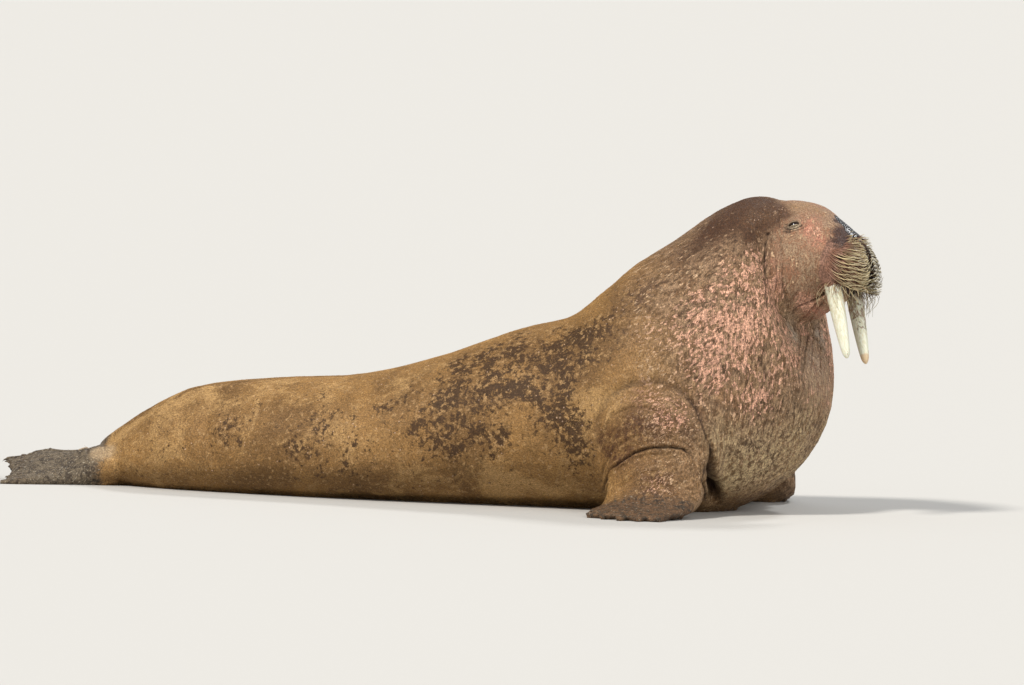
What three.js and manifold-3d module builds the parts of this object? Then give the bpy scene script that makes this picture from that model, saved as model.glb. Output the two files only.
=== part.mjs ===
// A bull walrus at rest, chest raised on its foreflippers and head turned to its right.
// Millimetres, +Z up, +X forward. The origin is on the floor under the belly, on the body's middle plane.
import * as THREE from "three";
import { mergeVertices } from "three/addons/utils/BufferGeometryUtils.js";
import Module from "manifold-3d";

const wasm = await Module();
wasm.setup();

// Driving dimensions
const GAP = 0.3;
const HEAD_TURN = THREE.MathUtils.degToRad(-16);
const HEAD_ROLL = THREE.MathUtils.degToRad(10);
const HEAD_PIVOT = new THREE.Vector3(950, 0, 950);
const TUSK_SPACING = 162;
const TUSK_LEAN = 0.34;
const TUSK_TOE_IN = 0.028;
const EYE_RADIUS = 19;
const PAD_SIZE = new THREE.Vector3(88, 86, 100);
const PAD_CENTRE = new THREE.Vector3(1287, 65, 942);
const BRISTLE_ROWS = 8;
const BRISTLES_IN_ROW = 8;
const BRISTLE_RADIUS = 2.6;
const BRISTLE_SWEEP = 0.95;
const BRISTLE_LIFT = 0.22;
const BRISTLE_REACH = { low: 44, high: 18 };
const BRISTLE_LEVELS = { low: -0.9, high: 0.72 };
const BRISTLE_ROUND = { front: -0.85, back: 1.85 };
const LEFT_FLIPPER_LEAD = 100;
const NOSTRIL_SIZE = new THREE.Vector3(6, 19, 12);
const MOUTH_CORNER = new THREE.Vector3(1212, 100, 815);
const FLIPPER_NAIL = new THREE.Vector3(8, 5, 4);
const SIDES = { right: -1, left: 1 };

// Colours and finishes
const finish = (color, roughness) => new THREE.MeshStandardMaterial({ color, roughness, metalness: 0 });
const HIDE = finish(0x8a6238, 0.75);
const CHEST_HIDE = finish(0x8f6a4a, 0.75);
const FACE_HIDE = finish(0x87604a, 0.7);
const FLIPPER_HIDE = finish(0x5a4a38, 0.8);
const BRISTLE = finish(0xa89467, 0.5);
const IVORY = finish(0xe8dfbd, 0.35);
const EYE = finish(0x17110d, 0.15);

// Solids from three.js geometry, and nodes from solids
const v = (x, y, z) => new THREE.Vector3(x, y, z);

function facingOut(geometry) {
  const bare = geometry.clone();
  bare.deleteAttribute("normal");
  bare.deleteAttribute("uv");
  const skin = mergeVertices(bare, 1e-3);
  const corners = skin.index.array;
  let volume = 0;
  for (let i = 0; i < corners.length; i += 3) {
    const [p, q, r] = [0, 1, 2].map((k) => v().fromBufferAttribute(skin.attributes.position, corners[i + k]));
    volume += p.dot(q.cross(r));
  }
  if (volume > 0) return skin;
  for (let i = 0; i < corners.length; i += 3)
    [corners[i + 1], corners[i + 2]] = [corners[i + 2], corners[i + 1]];
  return skin;
}

function solid(skin) {
  const vertProperties = skin.attributes.position.array;
  const triVerts = new Uint32Array(skin.index.array);
  return new wasm.Manifold(new wasm.Mesh({ numProp: 3, vertProperties, triVerts }));
}

const joined = (bodies) => wasm.Manifold.union(bodies);
const cutBy = (body, rooms) => rooms.reduce((left, room) => left.subtract(room), body);

function part(name, body, material) {
  const largest = body.decompose().reduce((a, b) => (b.volume() > a.volume() ? b : a));
  const made = largest.getMesh();
  const geometry = new THREE.BufferGeometry();
  geometry.setAttribute("position", new THREE.BufferAttribute(made.vertProperties, 3));
  geometry.setIndex(new THREE.BufferAttribute(made.triVerts, 1));
  geometry.computeVertexNormals();
  const mesh = new THREE.Mesh(geometry, material);
  mesh.name = name;
  return mesh;
}

// A surface through cross-sections: each has its middle, its half-breadth to the left, its reach up and
// down, and how square it is (2 is an ellipse). It gives a point for a share of the length and an angle.
function sections(stations) {
  const [middle, side, up, down, square] = ["middle", "side", "up", "down", "square"].map(
    (key) => new THREE.CatmullRomCurve3(stations.map((s) => s[key]), false, "catmullrom"),
  );
  return (t, angle) => {
    const bulge = 2 / square.getPoint(t).x;
    const across = Math.sign(Math.sin(angle)) * Math.abs(Math.sin(angle)) ** bulge;
    const along = Math.abs(Math.cos(angle)) ** bulge;
    const reach = Math.cos(angle) > 0 ? up : down;
    const edge = reach.getPoint(t).multiplyScalar(along);
    return middle.getPoint(t).addScaledVector(side.getPoint(t), across).add(edge);
  };
}

// A closed skin over such a surface, moved outwards by swell where it makes room for a neighbour.
function loft(place, around, along, swell = 0) {
  const geometry = new THREE.SphereGeometry(1, around, along);
  const { position, uv } = geometry.attributes;
  for (let i = 0; i < position.count; i++) {
    const t = 1 - uv.getY(i);
    const atEnd = t < 1e-6 || t > 1 - 1e-6;
    const centre = () => place(t, 0).add(place(t, Math.PI)).multiplyScalar(0.5);
    const p = atEnd ? centre() : place(t, uv.getX(i) * 2 * Math.PI);
    position.setXYZ(i, p.x, p.y, p.z);
  }
  const skin = facingOut(geometry);
  skin.computeVertexNormals();
  const { position: at, normal } = skin.attributes;
  for (let i = 0; i < at.count; i++) {
    const p = v().fromBufferAttribute(at, i).addScaledVector(v().fromBufferAttribute(normal, i), swell);
    at.setXYZ(i, p.x, p.y, p.z);
  }
  return solid(skin);
}

function rounded(size, frame, around, along, swell = 0) {
  const geometry = new THREE.SphereGeometry(1, around, along);
  geometry.scale(size.x + swell, size.y + swell, size.z + swell);
  return solid(facingOut(geometry.applyMatrix4(frame)));
}

// The head is drawn looking straight ahead, then turned about the vertical through the pivot and rolled.
// The neck takes a growing share of that turn.
function headPose(share) {
  const spin = new THREE.Quaternion()
    .setFromAxisAngle(v(0, 0, 1), HEAD_TURN * share)
    .multiply(new THREE.Quaternion().setFromAxisAngle(v(1, 0, 0), -HEAD_ROLL * share));
  return new THREE.Matrix4()
    .makeTranslation(HEAD_PIVOT)
    .multiply(new THREE.Matrix4().makeRotationFromQuaternion(spin))
    .multiply(new THREE.Matrix4().makeTranslation(HEAD_PIVOT.clone().negate()));
}
const HEAD_POSE = headPose(1);
const headFrame = (p) => HEAD_POSE.clone().multiply(new THREE.Matrix4().makeTranslation(p));

// The trunk, neck and face as one skin, each station named by its place: dorsal point and ventral point
// (X and Z), half-width, level of the widest place above the ventral point, squareness, and the share of
// the head's turn.
const BODY = [
  { at: "tail root", top: [-1690, 150], base: [-1690, 55], half: 45, level: 0.45, square: 2, turn: 0 },
  { at: "ankles", top: [-1600, 214], base: [-1600, 5], half: 135, level: 0.42, square: 2.1, turn: 0 },
  { at: "rump", top: [-1440, 318], base: [-1440, -12], half: 235, level: 0.4, square: 2.2, turn: 0 },
  { at: "pelvis", top: [-1250, 398], base: [-1250, -22], half: 310, level: 0.38, square: 2.3, turn: 0 },
  { at: "loin", top: [-950, 436], base: [-950, -26], half: 372, level: 0.38, square: 2.35, turn: 0 },
  { at: "waist", top: [-645, 460], base: [-645, -26], half: 422, level: 0.38, square: 2.35, turn: 0 },
  { at: "belly", top: [-330, 540], base: [-310, -26], half: 458, level: 0.4, square: 2.3, turn: 0 },
  { at: "ribs", top: [-18, 656], base: [60, -26], half: 478, level: 0.42, square: 2.25, turn: 0 },
  { at: "back dip", top: [190, 712], base: [330, -26], half: 486, level: 0.43, square: 2.2, turn: 0 },
  { at: "withers", top: [318, 810], base: [560, -26], half: 490, level: 0.43, square: 2.2, turn: 0 },
  { at: "shoulders", top: [455, 932], base: [780, -12], half: 482, level: 0.44, square: 2.15, turn: 0 },
  { at: "chest", top: [595, 1023], base: [980, 78], half: 454, level: 0.46, square: 2.1, turn: 0.04 },
  { at: "breast", top: [730, 1122], base: [1130, 240], half: 406, level: 0.47, square: 2.1, turn: 0.12 },
  { at: "lower neck", top: [835, 1176], base: [1192, 430], half: 350, level: 0.48, square: 2.1, turn: 0.3 },
  { at: "nape", top: [915, 1191], base: [1148, 610], half: 294, level: 0.5, square: 2.1, turn: 0.6 },
  { at: "neck crease", top: [988, 1178], base: [1106, 712], half: 238, level: 0.5, square: 2.15, turn: 0.9 },
  { at: "crown", top: [1060, 1181], base: [1172, 775], half: 203, level: 0.45, square: 2.2, turn: 1 },
  { at: "eyes", top: [1140, 1172], base: [1215, 815], half: 172, level: 0.42, square: 2.2, turn: 1 },
  { at: "bridge", top: [1210, 1134], base: [1244, 845], half: 146, level: 0.4, square: 2.2, turn: 1 },
  { at: "nose", top: [1285, 1086], base: [1288, 885], half: 108, level: 0.4, square: 2.15, turn: 1 },
  { at: "muzzle end", top: [1350, 1046], base: [1338, 985], half: 56, level: 0.45, square: 2, turn: 1 },
];

const straightBody = sections(
  BODY.map(({ top, base, half, level, square }) => {
    const back = v(top[0], 0, top[1]);
    const belly = v(base[0], 0, base[1]);
    const middle = belly.clone().lerp(back, level);
    const up = back.clone().sub(middle);
    const down = belly.clone().sub(middle);
    return { middle, side: v(0, half, 0), up, down, square: v(square, 0, 0) };
  }),
);
const turnShare = new THREE.CatmullRomCurve3(BODY.map((s) => v(s.turn, 0, 0)), false, "catmullrom");
const bodyPlace = (t, angle) => straightBody(t, angle).applyMatrix4(headPose(turnShare.getPoint(t).x));
const bodySolid = (swell = 0) => loft(bodyPlace, 34, 58, swell);

// Thin parting cuts: a plane across the body through two points of its middle plane, facing forward
function partingPlane(high, low, share = 0) {
  const pose = headPose(share);
  const a = v(high[0], 0, high[1]).applyMatrix4(pose);
  const b = v(low[0], 0, low[1]).applyMatrix4(pose);
  const c = v(high[0], 100, high[1]).applyMatrix4(pose);
  const normal = c.sub(a).cross(b.sub(a)).normalize();
  if (normal.x < 0) normal.negate();
  return { normal, offset: normal.dot(a) };
}
const ahead = (body, { normal, offset }) => body.trimByPlane(normal.toArray(), offset + GAP / 2);
const behind = (body, { normal, offset }) =>
  body.trimByPlane(normal.clone().negate().toArray(), GAP / 2 - offset);
const aboveFloor = (body) => body.trimByPlane([0, 0, 1], 0);

const PELVIS_CUT = partingPlane([-1000, 600], [-1000, 0]);
const BELLY_CUT = partingPlane([-130, 800], [-90, 0]);
const NECK_CUT = partingPlane([690, 1100], [1180, 330], 0.1);
const HEAD_CUT = partingPlane([985, 1180], [1150, 715], 0.9);

// A frame on the skin of the head, with x forward, z outward, and a step outward or inward
function onSkin({ t, angle }, side, out = 0) {
  const step = 1e-3;
  const origin = bodyPlace(t, side * angle);
  const forward = bodyPlace(t + step, side * angle).sub(origin).normalize();
  const toMiddle = bodyPlace(t, side * (angle - step)).sub(origin).normalize();
  const outward = toMiddle.clone().cross(forward).multiplyScalar(side).normalize();
  const up = outward.clone().cross(forward);
  origin.addScaledVector(outward, out);
  return new THREE.Matrix4().makeBasis(forward, up, outward).setPosition(origin);
}

// Eyes behind a nearly closed slit in a mound of lids, small ear openings, two slanting nostrils, and the
// line of the mouth running back from between the pads to its corner
const EYE_PLACE = { t: 0.828, angle: 1.1 };
const EAR_PLACE = { t: 0.765, angle: 1.28 };
const EYE_DEPTH = 14;
const eye = (side, swell = 0) =>
  rounded(v(EYE_RADIUS, EYE_RADIUS, EYE_RADIUS), onSkin(EYE_PLACE, side, -EYE_DEPTH), 10, 8, swell);
const lids = (side) => rounded(v(38, 28, 14), onSkin(EYE_PLACE, side, -3), 12, 6);
const lidSlit = (side) => rounded(v(20, 5, 16), onSkin(EYE_PLACE, side, 8), 8, 5);
const earFold = (side) => rounded(v(16, 22, 9), onSkin(EAR_PLACE, side), 8, 5);
const earHole = (side) => rounded(v(6, 10, 14), onSkin(EAR_PLACE, side, 6), 7, 5);
const nostril = (side) => {
  const tilt = new THREE.Matrix4().makeRotationFromEuler(new THREE.Euler(0, 0.6, side * 0.5, "YXZ"));
  return rounded(NOSTRIL_SIZE, headFrame(v(1334, side * 29, 1053)).multiply(tilt), 8, 5);
};
const mouthCorner = (side) =>
  rounded(v(46, 24, 4), headFrame(v(MOUTH_CORNER.x, side * MOUTH_CORNER.y, MOUTH_CORNER.z)), 8, 4);

// Muzzle pads: a cushion each side of the nose, set with rows of bristles that lie forward round it, rise
// from it towards their tips and end at one front edge, the low ones hanging in arcs
const padFrame = (side) => headFrame(v(PAD_CENTRE.x, side * PAD_CENTRE.y, PAD_CENTRE.z));
const pad = (side, swell = 0) => rounded(PAD_SIZE, padFrame(side), 14, 9, swell);

function bristle(side, round, level) {
  const { clamp, mapLinear } = THREE.MathUtils;
  const { low, high } = BRISTLE_LEVELS;
  const inner = clamp(0.6 - 0.5 * round, 0.15, 1);
  const reach = inner * mapLinear(level, low, high, BRISTLE_REACH.low, BRISTLE_REACH.high);
  const sweep = BRISTLE_SWEEP * clamp((round + 0.3) / 1.2, 0, 1);
  const station = (t) => {
    const angle = round - sweep * t;
    const drop = 0.2 * (1 - t) ** 2 * clamp((round - 0.7) / 0.8, 0, 1);
    const rise = level + drop + 0.16 * t * t * Math.max(0, -level);
    const flat = Math.cos(rise);
    const out = v(flat * Math.cos(angle), side * flat * Math.sin(angle), Math.sin(rise));
    out.multiply(PAD_SIZE).multiplyScalar(1 + BRISTLE_LIFT * (1 - (1 - t) ** 2));
    return out.setX(out.x + reach * t);
  };
  const line = [station(0).multiplyScalar(0.88), station(0.12), station(0.55), station(1)];
  const thickness = [1, 1, 0.85, 0.15].map((share) => share * BRISTLE_RADIUS);
  const across = line[3].clone().sub(line[1]).cross(v(0, 0, 1)).normalize();
  const above = across.clone().cross(line[3].clone().sub(line[1])).normalize();
  const place = (t, turn) => {
    const i = Math.round(t * 3);
    const ring = across.clone().multiplyScalar(Math.sin(turn)).addScaledVector(above, Math.cos(turn));
    return line[i].clone().addScaledVector(ring, thickness[i]).applyMatrix4(padFrame(side));
  };
  return loft(place, 3, 3);
}

function bristles(side) {
  const { lerp } = THREE.MathUtils;
  const made = [];
  for (let row = 0; row < BRISTLE_ROWS; row++) {
    const level = lerp(BRISTLE_LEVELS.low, BRISTLE_LEVELS.high, row / (BRISTLE_ROWS - 1));
    for (let i = 0; i < BRISTLES_IN_ROW; i++) {
      const share = (i + (row % 2) * 0.5) / BRISTLES_IN_ROW;
      made.push(bristle(side, lerp(BRISTLE_ROUND.front, BRISTLE_ROUND.back, share), level));
    }
  }
  return joined(made);
}

// Tusks, oval in section, leaning forward as they go down and a little towards each other
const TUSK_SOCKET = new THREE.Vector3(1285, TUSK_SPACING / 2, 836);
const TUSK = [
  { drop: -75, deep: 31, wide: 25 },
  { drop: 0, deep: 33, wide: 27 },
  { drop: 75, deep: 30, wide: 24 },
  { drop: 150, deep: 25, wide: 19 },
  { drop: 215, deep: 18, wide: 15 },
  { drop: 254, deep: 9, wide: 8 },
];
function tusk(side, swell = 0) {
  const axis = v(TUSK_LEAN, 0, -1).normalize();
  const fore = v(1, 0, TUSK_LEAN).normalize();
  const place = sections(
    TUSK.map(({ drop, deep, wide }) => ({
      middle: v(TUSK_SOCKET.x, side * (TUSK_SOCKET.y - TUSK_TOE_IN * drop), TUSK_SOCKET.z)
        .addScaledVector(axis, drop / -axis.z),
      side: v(0, wide, 0),
      up: fore.clone().multiplyScalar(deep),
      down: fore.clone().multiplyScalar(-deep),
      square: v(2.1, 0, 0),
    })),
  );
  return loft((t, angle) => place(t, angle).applyMatrix4(HEAD_POSE), 12, 11, swell);
}

// Lower jaw and lip, between the tusks
const JAW = [
  { x: 1100, z: 792, up: 66, down: 68, wide: 120 },
  { x: 1145, z: 795, up: 58, down: 66, wide: 104 },
  { x: 1190, z: 805, up: 42, down: 46, wide: 78 },
  { x: 1235, z: 815, up: 28, down: 32, wide: 56 },
  { x: 1278, z: 822, up: 17, down: 22, wide: 44 },
  { x: 1300, z: 824, up: 7, down: 10, wide: 26 },
];
function jaw(swell = 0) {
  const place = sections(
    JAW.map(({ x, z, up, down, wide }) => ({
      middle: v(x, 0, z),
      side: v(0, wide, 0),
      up: v(0, 0, up),
      down: v(0, 0, -down),
      square: v(2.2, 0, 0),
    })),
  );
  return loft((t, angle) => place(t, angle).applyMatrix4(HEAD_POSE), 16, 8, swell);
}

// Foreflippers, drawn for the right side: a fold of upper arm over a broad paddle that bends out along
// the floor, with five digits and their small nails. The left one is mirrored and set further forward.
const limbSide = (side) => (p) => v(p.x + (side > 0 ? LEFT_FLIPPER_LEAD : 0), -side * p.y, p.z);
const UPPER_ARM = { centre: v(634, -370, 255), size: v(262, 190, 262) };
function upperArm(side, swell = 0) {
  const middle = limbSide(side)(UPPER_ARM.centre);
  return rounded(UPPER_ARM.size, new THREE.Matrix4().makeTranslation(middle), 16, 11, swell);
}

const FLIPPER = [
  { middle: v(655, -440, 275), side: v(150, 0, 0), up: v(0, -70, 25) },
  { middle: v(658, -485, 200), side: v(178, 0, 0), up: v(0, -78, 22) },
  { middle: v(662, -512, 125), side: v(190, 0, 0), up: v(0, -68, 30) },
  { middle: v(658, -550, 58), side: v(188, -8, 0), up: v(0, -40, 46) },
  { middle: v(640, -625, 30), side: v(178, -36, 0), up: v(0, -8, 36) },
  { middle: v(612, -705, 22), side: v(170, -48, 0), up: v(0, 0, 22) },
  { middle: v(588, -775, 15), side: v(150, -46, 0), up: v(0, 0, 13) },
  { middle: v(575, -812, 11), side: v(96, -30, 0), up: v(0, 0, 8) },
];
const DIGITS = [
  { root: v(735, -575, 0), tip: v(742, -842, 0), half: 34 },
  { root: v(691, -583, 0), tip: v(676, -866, 0), half: 30 },
  { root: v(648, -591, 0), tip: v(604, -862, 0), half: 28 },
  { root: v(604, -599, 0), tip: v(530, -826, 0), half: 27 },
  { root: v(560, -607, 0), tip: v(462, -768, 0), half: 26 },
];
const DIGIT_SHAPE = [
  { share: 0, wide: 0.5, tall: 0.55 },
  { share: 0.25, wide: 0.85, tall: 1 },
  { share: 0.6, wide: 0.95, tall: 0.8 },
  { share: 0.85, wide: 1, tall: 0.62 },
  { share: 0.97, wide: 0.7, tall: 0.45 },
  { share: 1, wide: 0.35, tall: 0.25 },
];

function digit({ root, tip, half, high, lift, up }, at) {
  const line = tip.clone().sub(root);
  const across = up.clone().cross(line).normalize();
  const place = sections(
    DIGIT_SHAPE.map(({ share, wide, tall }) => ({
      middle: root.clone().addScaledVector(line, share).addScaledVector(up, lift * high * tall),
      side: across.clone().multiplyScalar(half * wide),
      up: up.clone().multiplyScalar(high * tall),
      down: up.clone().multiplyScalar(-high * tall),
      square: v(2, 0, 0),
    })),
  );
  const nailAt = root.clone().addScaledVector(line, 0.84).addScaledVector(up, high * 0.64 * (lift + 0.9));
  const nail = rounded(FLIPPER_NAIL, new THREE.Matrix4().makeTranslation(at(nailAt)), 5, 3);
  return joined([loft((t, angle) => at(place(t, angle)), 6, 6), nail]);
}

function foreflipper(side) {
  const at = limbSide(side);
  const place = sections(
    FLIPPER.map(({ middle, side: breadth, up }) => ({
      middle,
      side: breadth,
      up,
      down: up.clone().negate(),
      square: v(2.3, 0, 0),
    })),
  );
  const paddle = loft((t, angle) => at(place(t, angle)), 14, 13);
  const digits = DIGITS.map((shape) => digit({ ...shape, high: 27, lift: 0.9, up: v(0, 0, 1) }, at));
  return joined([paddle, ...digits]);
}

// Hind flippers: ankle, heel and a webbed fan laid back on the floor, and the tail between them
const HIND = {
  right: { ankle: v(-1590, -92, 0), reach: v(-2000, -190, 0) },
  left: { ankle: v(-1590, 92, 0), reach: v(-2052, 150, 0) },
};
const HIND_SHAPE = [
  { share: -0.12, wide: 60, tall: 70, tilt: 40 },
  { share: 0.05, wide: 84, tall: 74, tilt: 40 },
  { share: 0.2, wide: 86, tall: 62, tilt: 40 },
  { share: 0.42, wide: 97, tall: 35, tilt: 34 },
  { share: 0.68, wide: 128, tall: 22, tilt: 28 },
  { share: 0.88, wide: 132, tall: 14, tilt: 17 },
  { share: 0.97, wide: 100, tall: 8, tilt: 15 },
];
const HIND_SPREADS = [-1, -0.55, 0, 0.55, 1];
const TOE_ROOT = { share: 0.42, spread: 60, rise: 62, tilt: 34 };
const TOE_TIP = { share: 0.94, spread: 128, rise: 36, tilt: 15 };
function hindFlipper(name) {
  const { ankle, reach } = HIND[name];
  const line = reach.clone().sub(ankle);
  const outward = v(-line.y, line.x, 0).normalize().multiplyScalar(-SIDES[name]);
  const leaned = (tilt) => {
    const lean = THREE.MathUtils.degToRad(tilt);
    const flat = outward.clone().multiplyScalar(Math.cos(lean)).add(v(0, 0, -Math.sin(lean)));
    const above = outward.clone().multiplyScalar(Math.sin(lean)).add(v(0, 0, Math.cos(lean)));
    return { flat, above };
  };
  const place = sections(
    HIND_SHAPE.map(({ share, wide, tall, tilt }) => {
      const { flat, above } = leaned(tilt);
      const rest = Math.hypot(wide * flat.z, tall * above.z) - 2;
      return {
        middle: ankle.clone().addScaledVector(line, share).add(v(0, 0, rest)),
        side: flat.multiplyScalar(wide),
        up: above.clone().multiplyScalar(tall),
        down: above.clone().multiplyScalar(-tall),
        square: v(2.1, 0, 0),
      };
    }),
  );
  const toes = HIND_SPREADS.map((spread) => {
    const outer = Math.abs(spread);
    const base = leaned(TOE_ROOT.tilt);
    const end = leaned(TOE_TIP.tilt);
    const root = ankle.clone().addScaledVector(line, TOE_ROOT.share);
    root.addScaledVector(base.flat, spread * TOE_ROOT.spread);
    root.z += TOE_ROOT.rise;
    const tip = ankle.clone().addScaledVector(line, TOE_TIP.share + 0.1 * outer);
    tip.addScaledVector(end.flat, spread * TOE_TIP.spread);
    tip.z += TOE_TIP.rise;
    return digit({ root, tip, half: 20 + 7 * outer, high: 18, lift: 0.3, up: end.above }, (p) => p);
  });
  return joined([loft(place, 12, 11), ...toes]);
}

const TAIL = { centre: v(-1712, 0, 118), size: v(58, 44, 20) };
const tail = (swell = 0) =>
  rounded(TAIL.size, new THREE.Matrix4().makeTranslation(TAIL.centre), 12, 8, swell);

// Assembly
const group = new THREE.Group();
const flesh = aboveFloor(bodySolid());
const fleshRoom = bodySolid(GAP);
const tuskRoom = Object.values(SIDES).map((side) => tusk(side, GAP));
const padRoom = Object.values(SIDES).map((side) => pad(side, GAP));

group.add(part("torso_hind", behind(flesh, PELVIS_CUT), HIDE));
group.add(part("torso_belly", behind(ahead(flesh, PELVIS_CUT), BELLY_CUT), HIDE));
group.add(part("torso_chest", behind(ahead(flesh, BELLY_CUT), NECK_CUT), CHEST_HIDE));
group.add(part("neck", behind(ahead(flesh, NECK_CUT), HEAD_CUT), CHEST_HIDE));

const folds = Object.values(SIDES).flatMap((side) => [lids(side), earFold(side)]);
const openings = Object.values(SIDES).flatMap((side) => [
  eye(side, GAP),
  lidSlit(side),
  earHole(side),
  nostril(side),
  mouthCorner(side),
]);
const skull = ahead(joined([flesh, ...folds]), HEAD_CUT);
group.add(part("head", cutBy(skull, [...openings, ...padRoom, ...tuskRoom]), FACE_HIDE));
group.add(part("lower_jaw", cutBy(jaw(), [fleshRoom, ...padRoom, ...tuskRoom]), FACE_HIDE));

const jawRoom = jaw(GAP);
for (const [name, side] of Object.entries(SIDES)) {
  const padMiddle = v(PAD_CENTRE.x, 0, PAD_CENTRE.z).applyMatrix4(HEAD_POSE);
  const sideways = v(PAD_CENTRE.x, side, PAD_CENTRE.z).applyMatrix4(HEAD_POSE).sub(padMiddle);
  const free = cutBy(bristles(side), [fleshRoom, jawRoom]);
  const half = ahead(joined([pad(side), free]), { normal: sideways, offset: sideways.dot(padMiddle) });
  group.add(part(`muzzle_pad_${name}`, cutBy(half, tuskRoom), BRISTLE));
  group.add(part(`tusk_${name}`, tusk(side), IVORY));
  group.add(part(`eye_${name}`, eye(side), EYE));
  group.add(part(`upper_arm_${name}`, aboveFloor(cutBy(upperArm(side), [fleshRoom])), CHEST_HIDE));
  const paddle = cutBy(foreflipper(side), [fleshRoom, upperArm(side, GAP)]);
  group.add(part(`foreflipper_${name}`, aboveFloor(paddle), FLIPPER_HIDE));
  const foot = cutBy(hindFlipper(name), [fleshRoom, tail(GAP)]);
  group.add(part(`hind_flipper_${name}`, aboveFloor(foot), FLIPPER_HIDE));
}
group.add(part("tail", cutBy(tail(), [fleshRoom]), HIDE));

export default group;
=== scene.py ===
# A bull walrus resting on its belly, its chest raised on its foreflippers and its head turned to its right, as
# a life-size museum model. Metres, +X to the head, +Y to the animal's left, +Z up, and the floor at Z 0.
import math
from itertools import product

import bmesh
import bpy
import numpy as np
from mathutils import Matrix, Vector, noise
from mathutils.bvhtree import BVHTree


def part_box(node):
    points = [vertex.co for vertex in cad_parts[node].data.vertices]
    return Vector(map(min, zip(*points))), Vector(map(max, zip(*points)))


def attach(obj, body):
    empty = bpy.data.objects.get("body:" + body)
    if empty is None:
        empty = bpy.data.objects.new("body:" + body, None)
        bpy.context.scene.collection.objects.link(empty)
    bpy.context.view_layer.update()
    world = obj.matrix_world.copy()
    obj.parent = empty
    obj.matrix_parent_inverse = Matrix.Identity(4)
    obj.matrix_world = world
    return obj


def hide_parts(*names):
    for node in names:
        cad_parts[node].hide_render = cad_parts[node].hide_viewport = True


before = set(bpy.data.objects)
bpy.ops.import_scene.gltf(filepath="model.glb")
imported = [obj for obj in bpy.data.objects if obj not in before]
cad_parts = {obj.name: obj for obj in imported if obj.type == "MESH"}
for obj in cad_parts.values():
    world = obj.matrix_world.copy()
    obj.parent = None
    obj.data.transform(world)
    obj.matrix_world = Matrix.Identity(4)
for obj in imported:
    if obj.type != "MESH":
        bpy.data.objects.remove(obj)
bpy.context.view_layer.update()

# The view: a long lens 36 m away, a little ahead of the animal's right side and a little above it, with the
# level dropping slightly to the right. A pixel of the 1024 x 685 picture is 3.8 mm on the animal.
view_turn, view_rise, view_lean = (math.radians(angle) for angle in (15, 2.8, 1.5))
view_from = Vector((9.253, -34.71, 2.359))
focus_in_pixels = 9473.7
middle_column, middle_row = 512, 342.5
flat = math.cos(view_rise)
view_back = Vector((math.sin(view_turn) * flat, -math.cos(view_turn) * flat, math.sin(view_rise)))
level_right = Vector((math.cos(view_turn), math.sin(view_turn), 0))
level_up = level_right.cross(-view_back)
view_right = math.cos(view_lean) * level_right + math.sin(view_lean) * level_up
view_up = -math.sin(view_lean) * level_right + math.cos(view_lean) * level_up
lens = bpy.data.cameras.new("view")
lens.sensor_width = 36
lens.lens = 36 * focus_in_pixels / 1024
lens.clip_end = 1000
camera = bpy.data.objects.new("view", lens)
view_axes = Matrix((view_right, view_up, view_back)).transposed()
camera.matrix_world = Matrix.Translation(view_from) @ view_axes.to_4x4()
bpy.context.scene.collection.objects.link(camera)
bpy.context.scene.camera = camera


def sight(px, py):
    """Direction from the lens through a pixel of the picture."""
    across, rise = px - middle_column, middle_row - py
    return (view_right * across + view_up * rise - view_back * focus_in_pixels).normalized()


# The shape of the hide: one skin over trunk, neck, head and limbs, 20 to 40 mm thick on a bull and wrinkled
# where it bends. It is taken over the solids of flesh with their joins closed, then smoothed, and made finer
# on the head.
head_pivot = Vector((0.95, 0, 0.95))
head_turn, head_roll = math.radians(-16), math.radians(10)
head_pose = (Matrix.Translation(head_pivot) @ Matrix.Rotation(head_turn, 4, "Z")
             @ Matrix.Rotation(-head_roll, 4, "X") @ Matrix.Translation(-head_pivot))
sides = {"right": -1, "left": 1}
pad_size = Vector((0.088, 0.082, 0.1))
pad_middle = Vector((1.28, 0.054, 0.942))
tusk_socket = Vector((1.285, 0.081, 0.836))
tusk_axis = Vector((0.34, 0, -1)).normalized()
gum_size = Vector((0.04, 0.035, 0.038))
gum_back, gum_up = 0.01, 0.03
gap_closing, same_corner = 0.0008, 1e-5
mesh_step = 0.014
coat_depth = 0.003


def on_head(x, y, z):
    """A place on the head drawn looking straight ahead, carried to where the head is."""
    return head_pose @ Vector((x, y, z))


def mesh_of(name, shape):
    """The mesh of a shape that is finished."""
    made = bpy.data.meshes.new(name)
    shape.to_mesh(made)
    shape.free()
    return made


def object_of(mesh):
    """An object in the scene, named after its mesh."""
    made = bpy.data.objects.new(mesh.name, mesh)
    bpy.context.scene.collection.objects.link(made)
    return made


hide_shape = bmesh.new()
for node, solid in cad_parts.items():
    if not node.startswith(("muzzle_pad", "tusk")):
        hide_shape.from_mesh(solid.data)
bmesh.ops.remove_doubles(hide_shape, verts=hide_shape.verts, dist=same_corner)
hide_shape.normal_update()
for corner in hide_shape.verts:
    corner.co += corner.normal * gap_closing
gum_lean = tusk_axis.to_track_quat("-Z", "Y").to_matrix().to_4x4()
for side in sides.values():
    pad_place = head_pose @ Matrix.Translation((pad_middle.x, side * pad_middle.y, pad_middle.z))
    bmesh.ops.create_uvsphere(hide_shape, u_segments=40, v_segments=24, radius=1,
                              matrix=pad_place @ Matrix.Diagonal((*pad_size, 1)))
    gum_place = Vector((tusk_socket.x - gum_back, side * tusk_socket.y, tusk_socket.z + gum_up))
    gum = head_pose @ Matrix.Translation(gum_place)
    bmesh.ops.create_uvsphere(hide_shape, u_segments=24, v_segments=16, radius=1,
                              matrix=gum @ gum_lean @ Matrix.Diagonal((*gum_size, 1)))
hide_mesh = mesh_of("hide", hide_shape)
hide = object_of(hide_mesh)
evened = hide.modifiers.new("evened", "REMESH")
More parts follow.
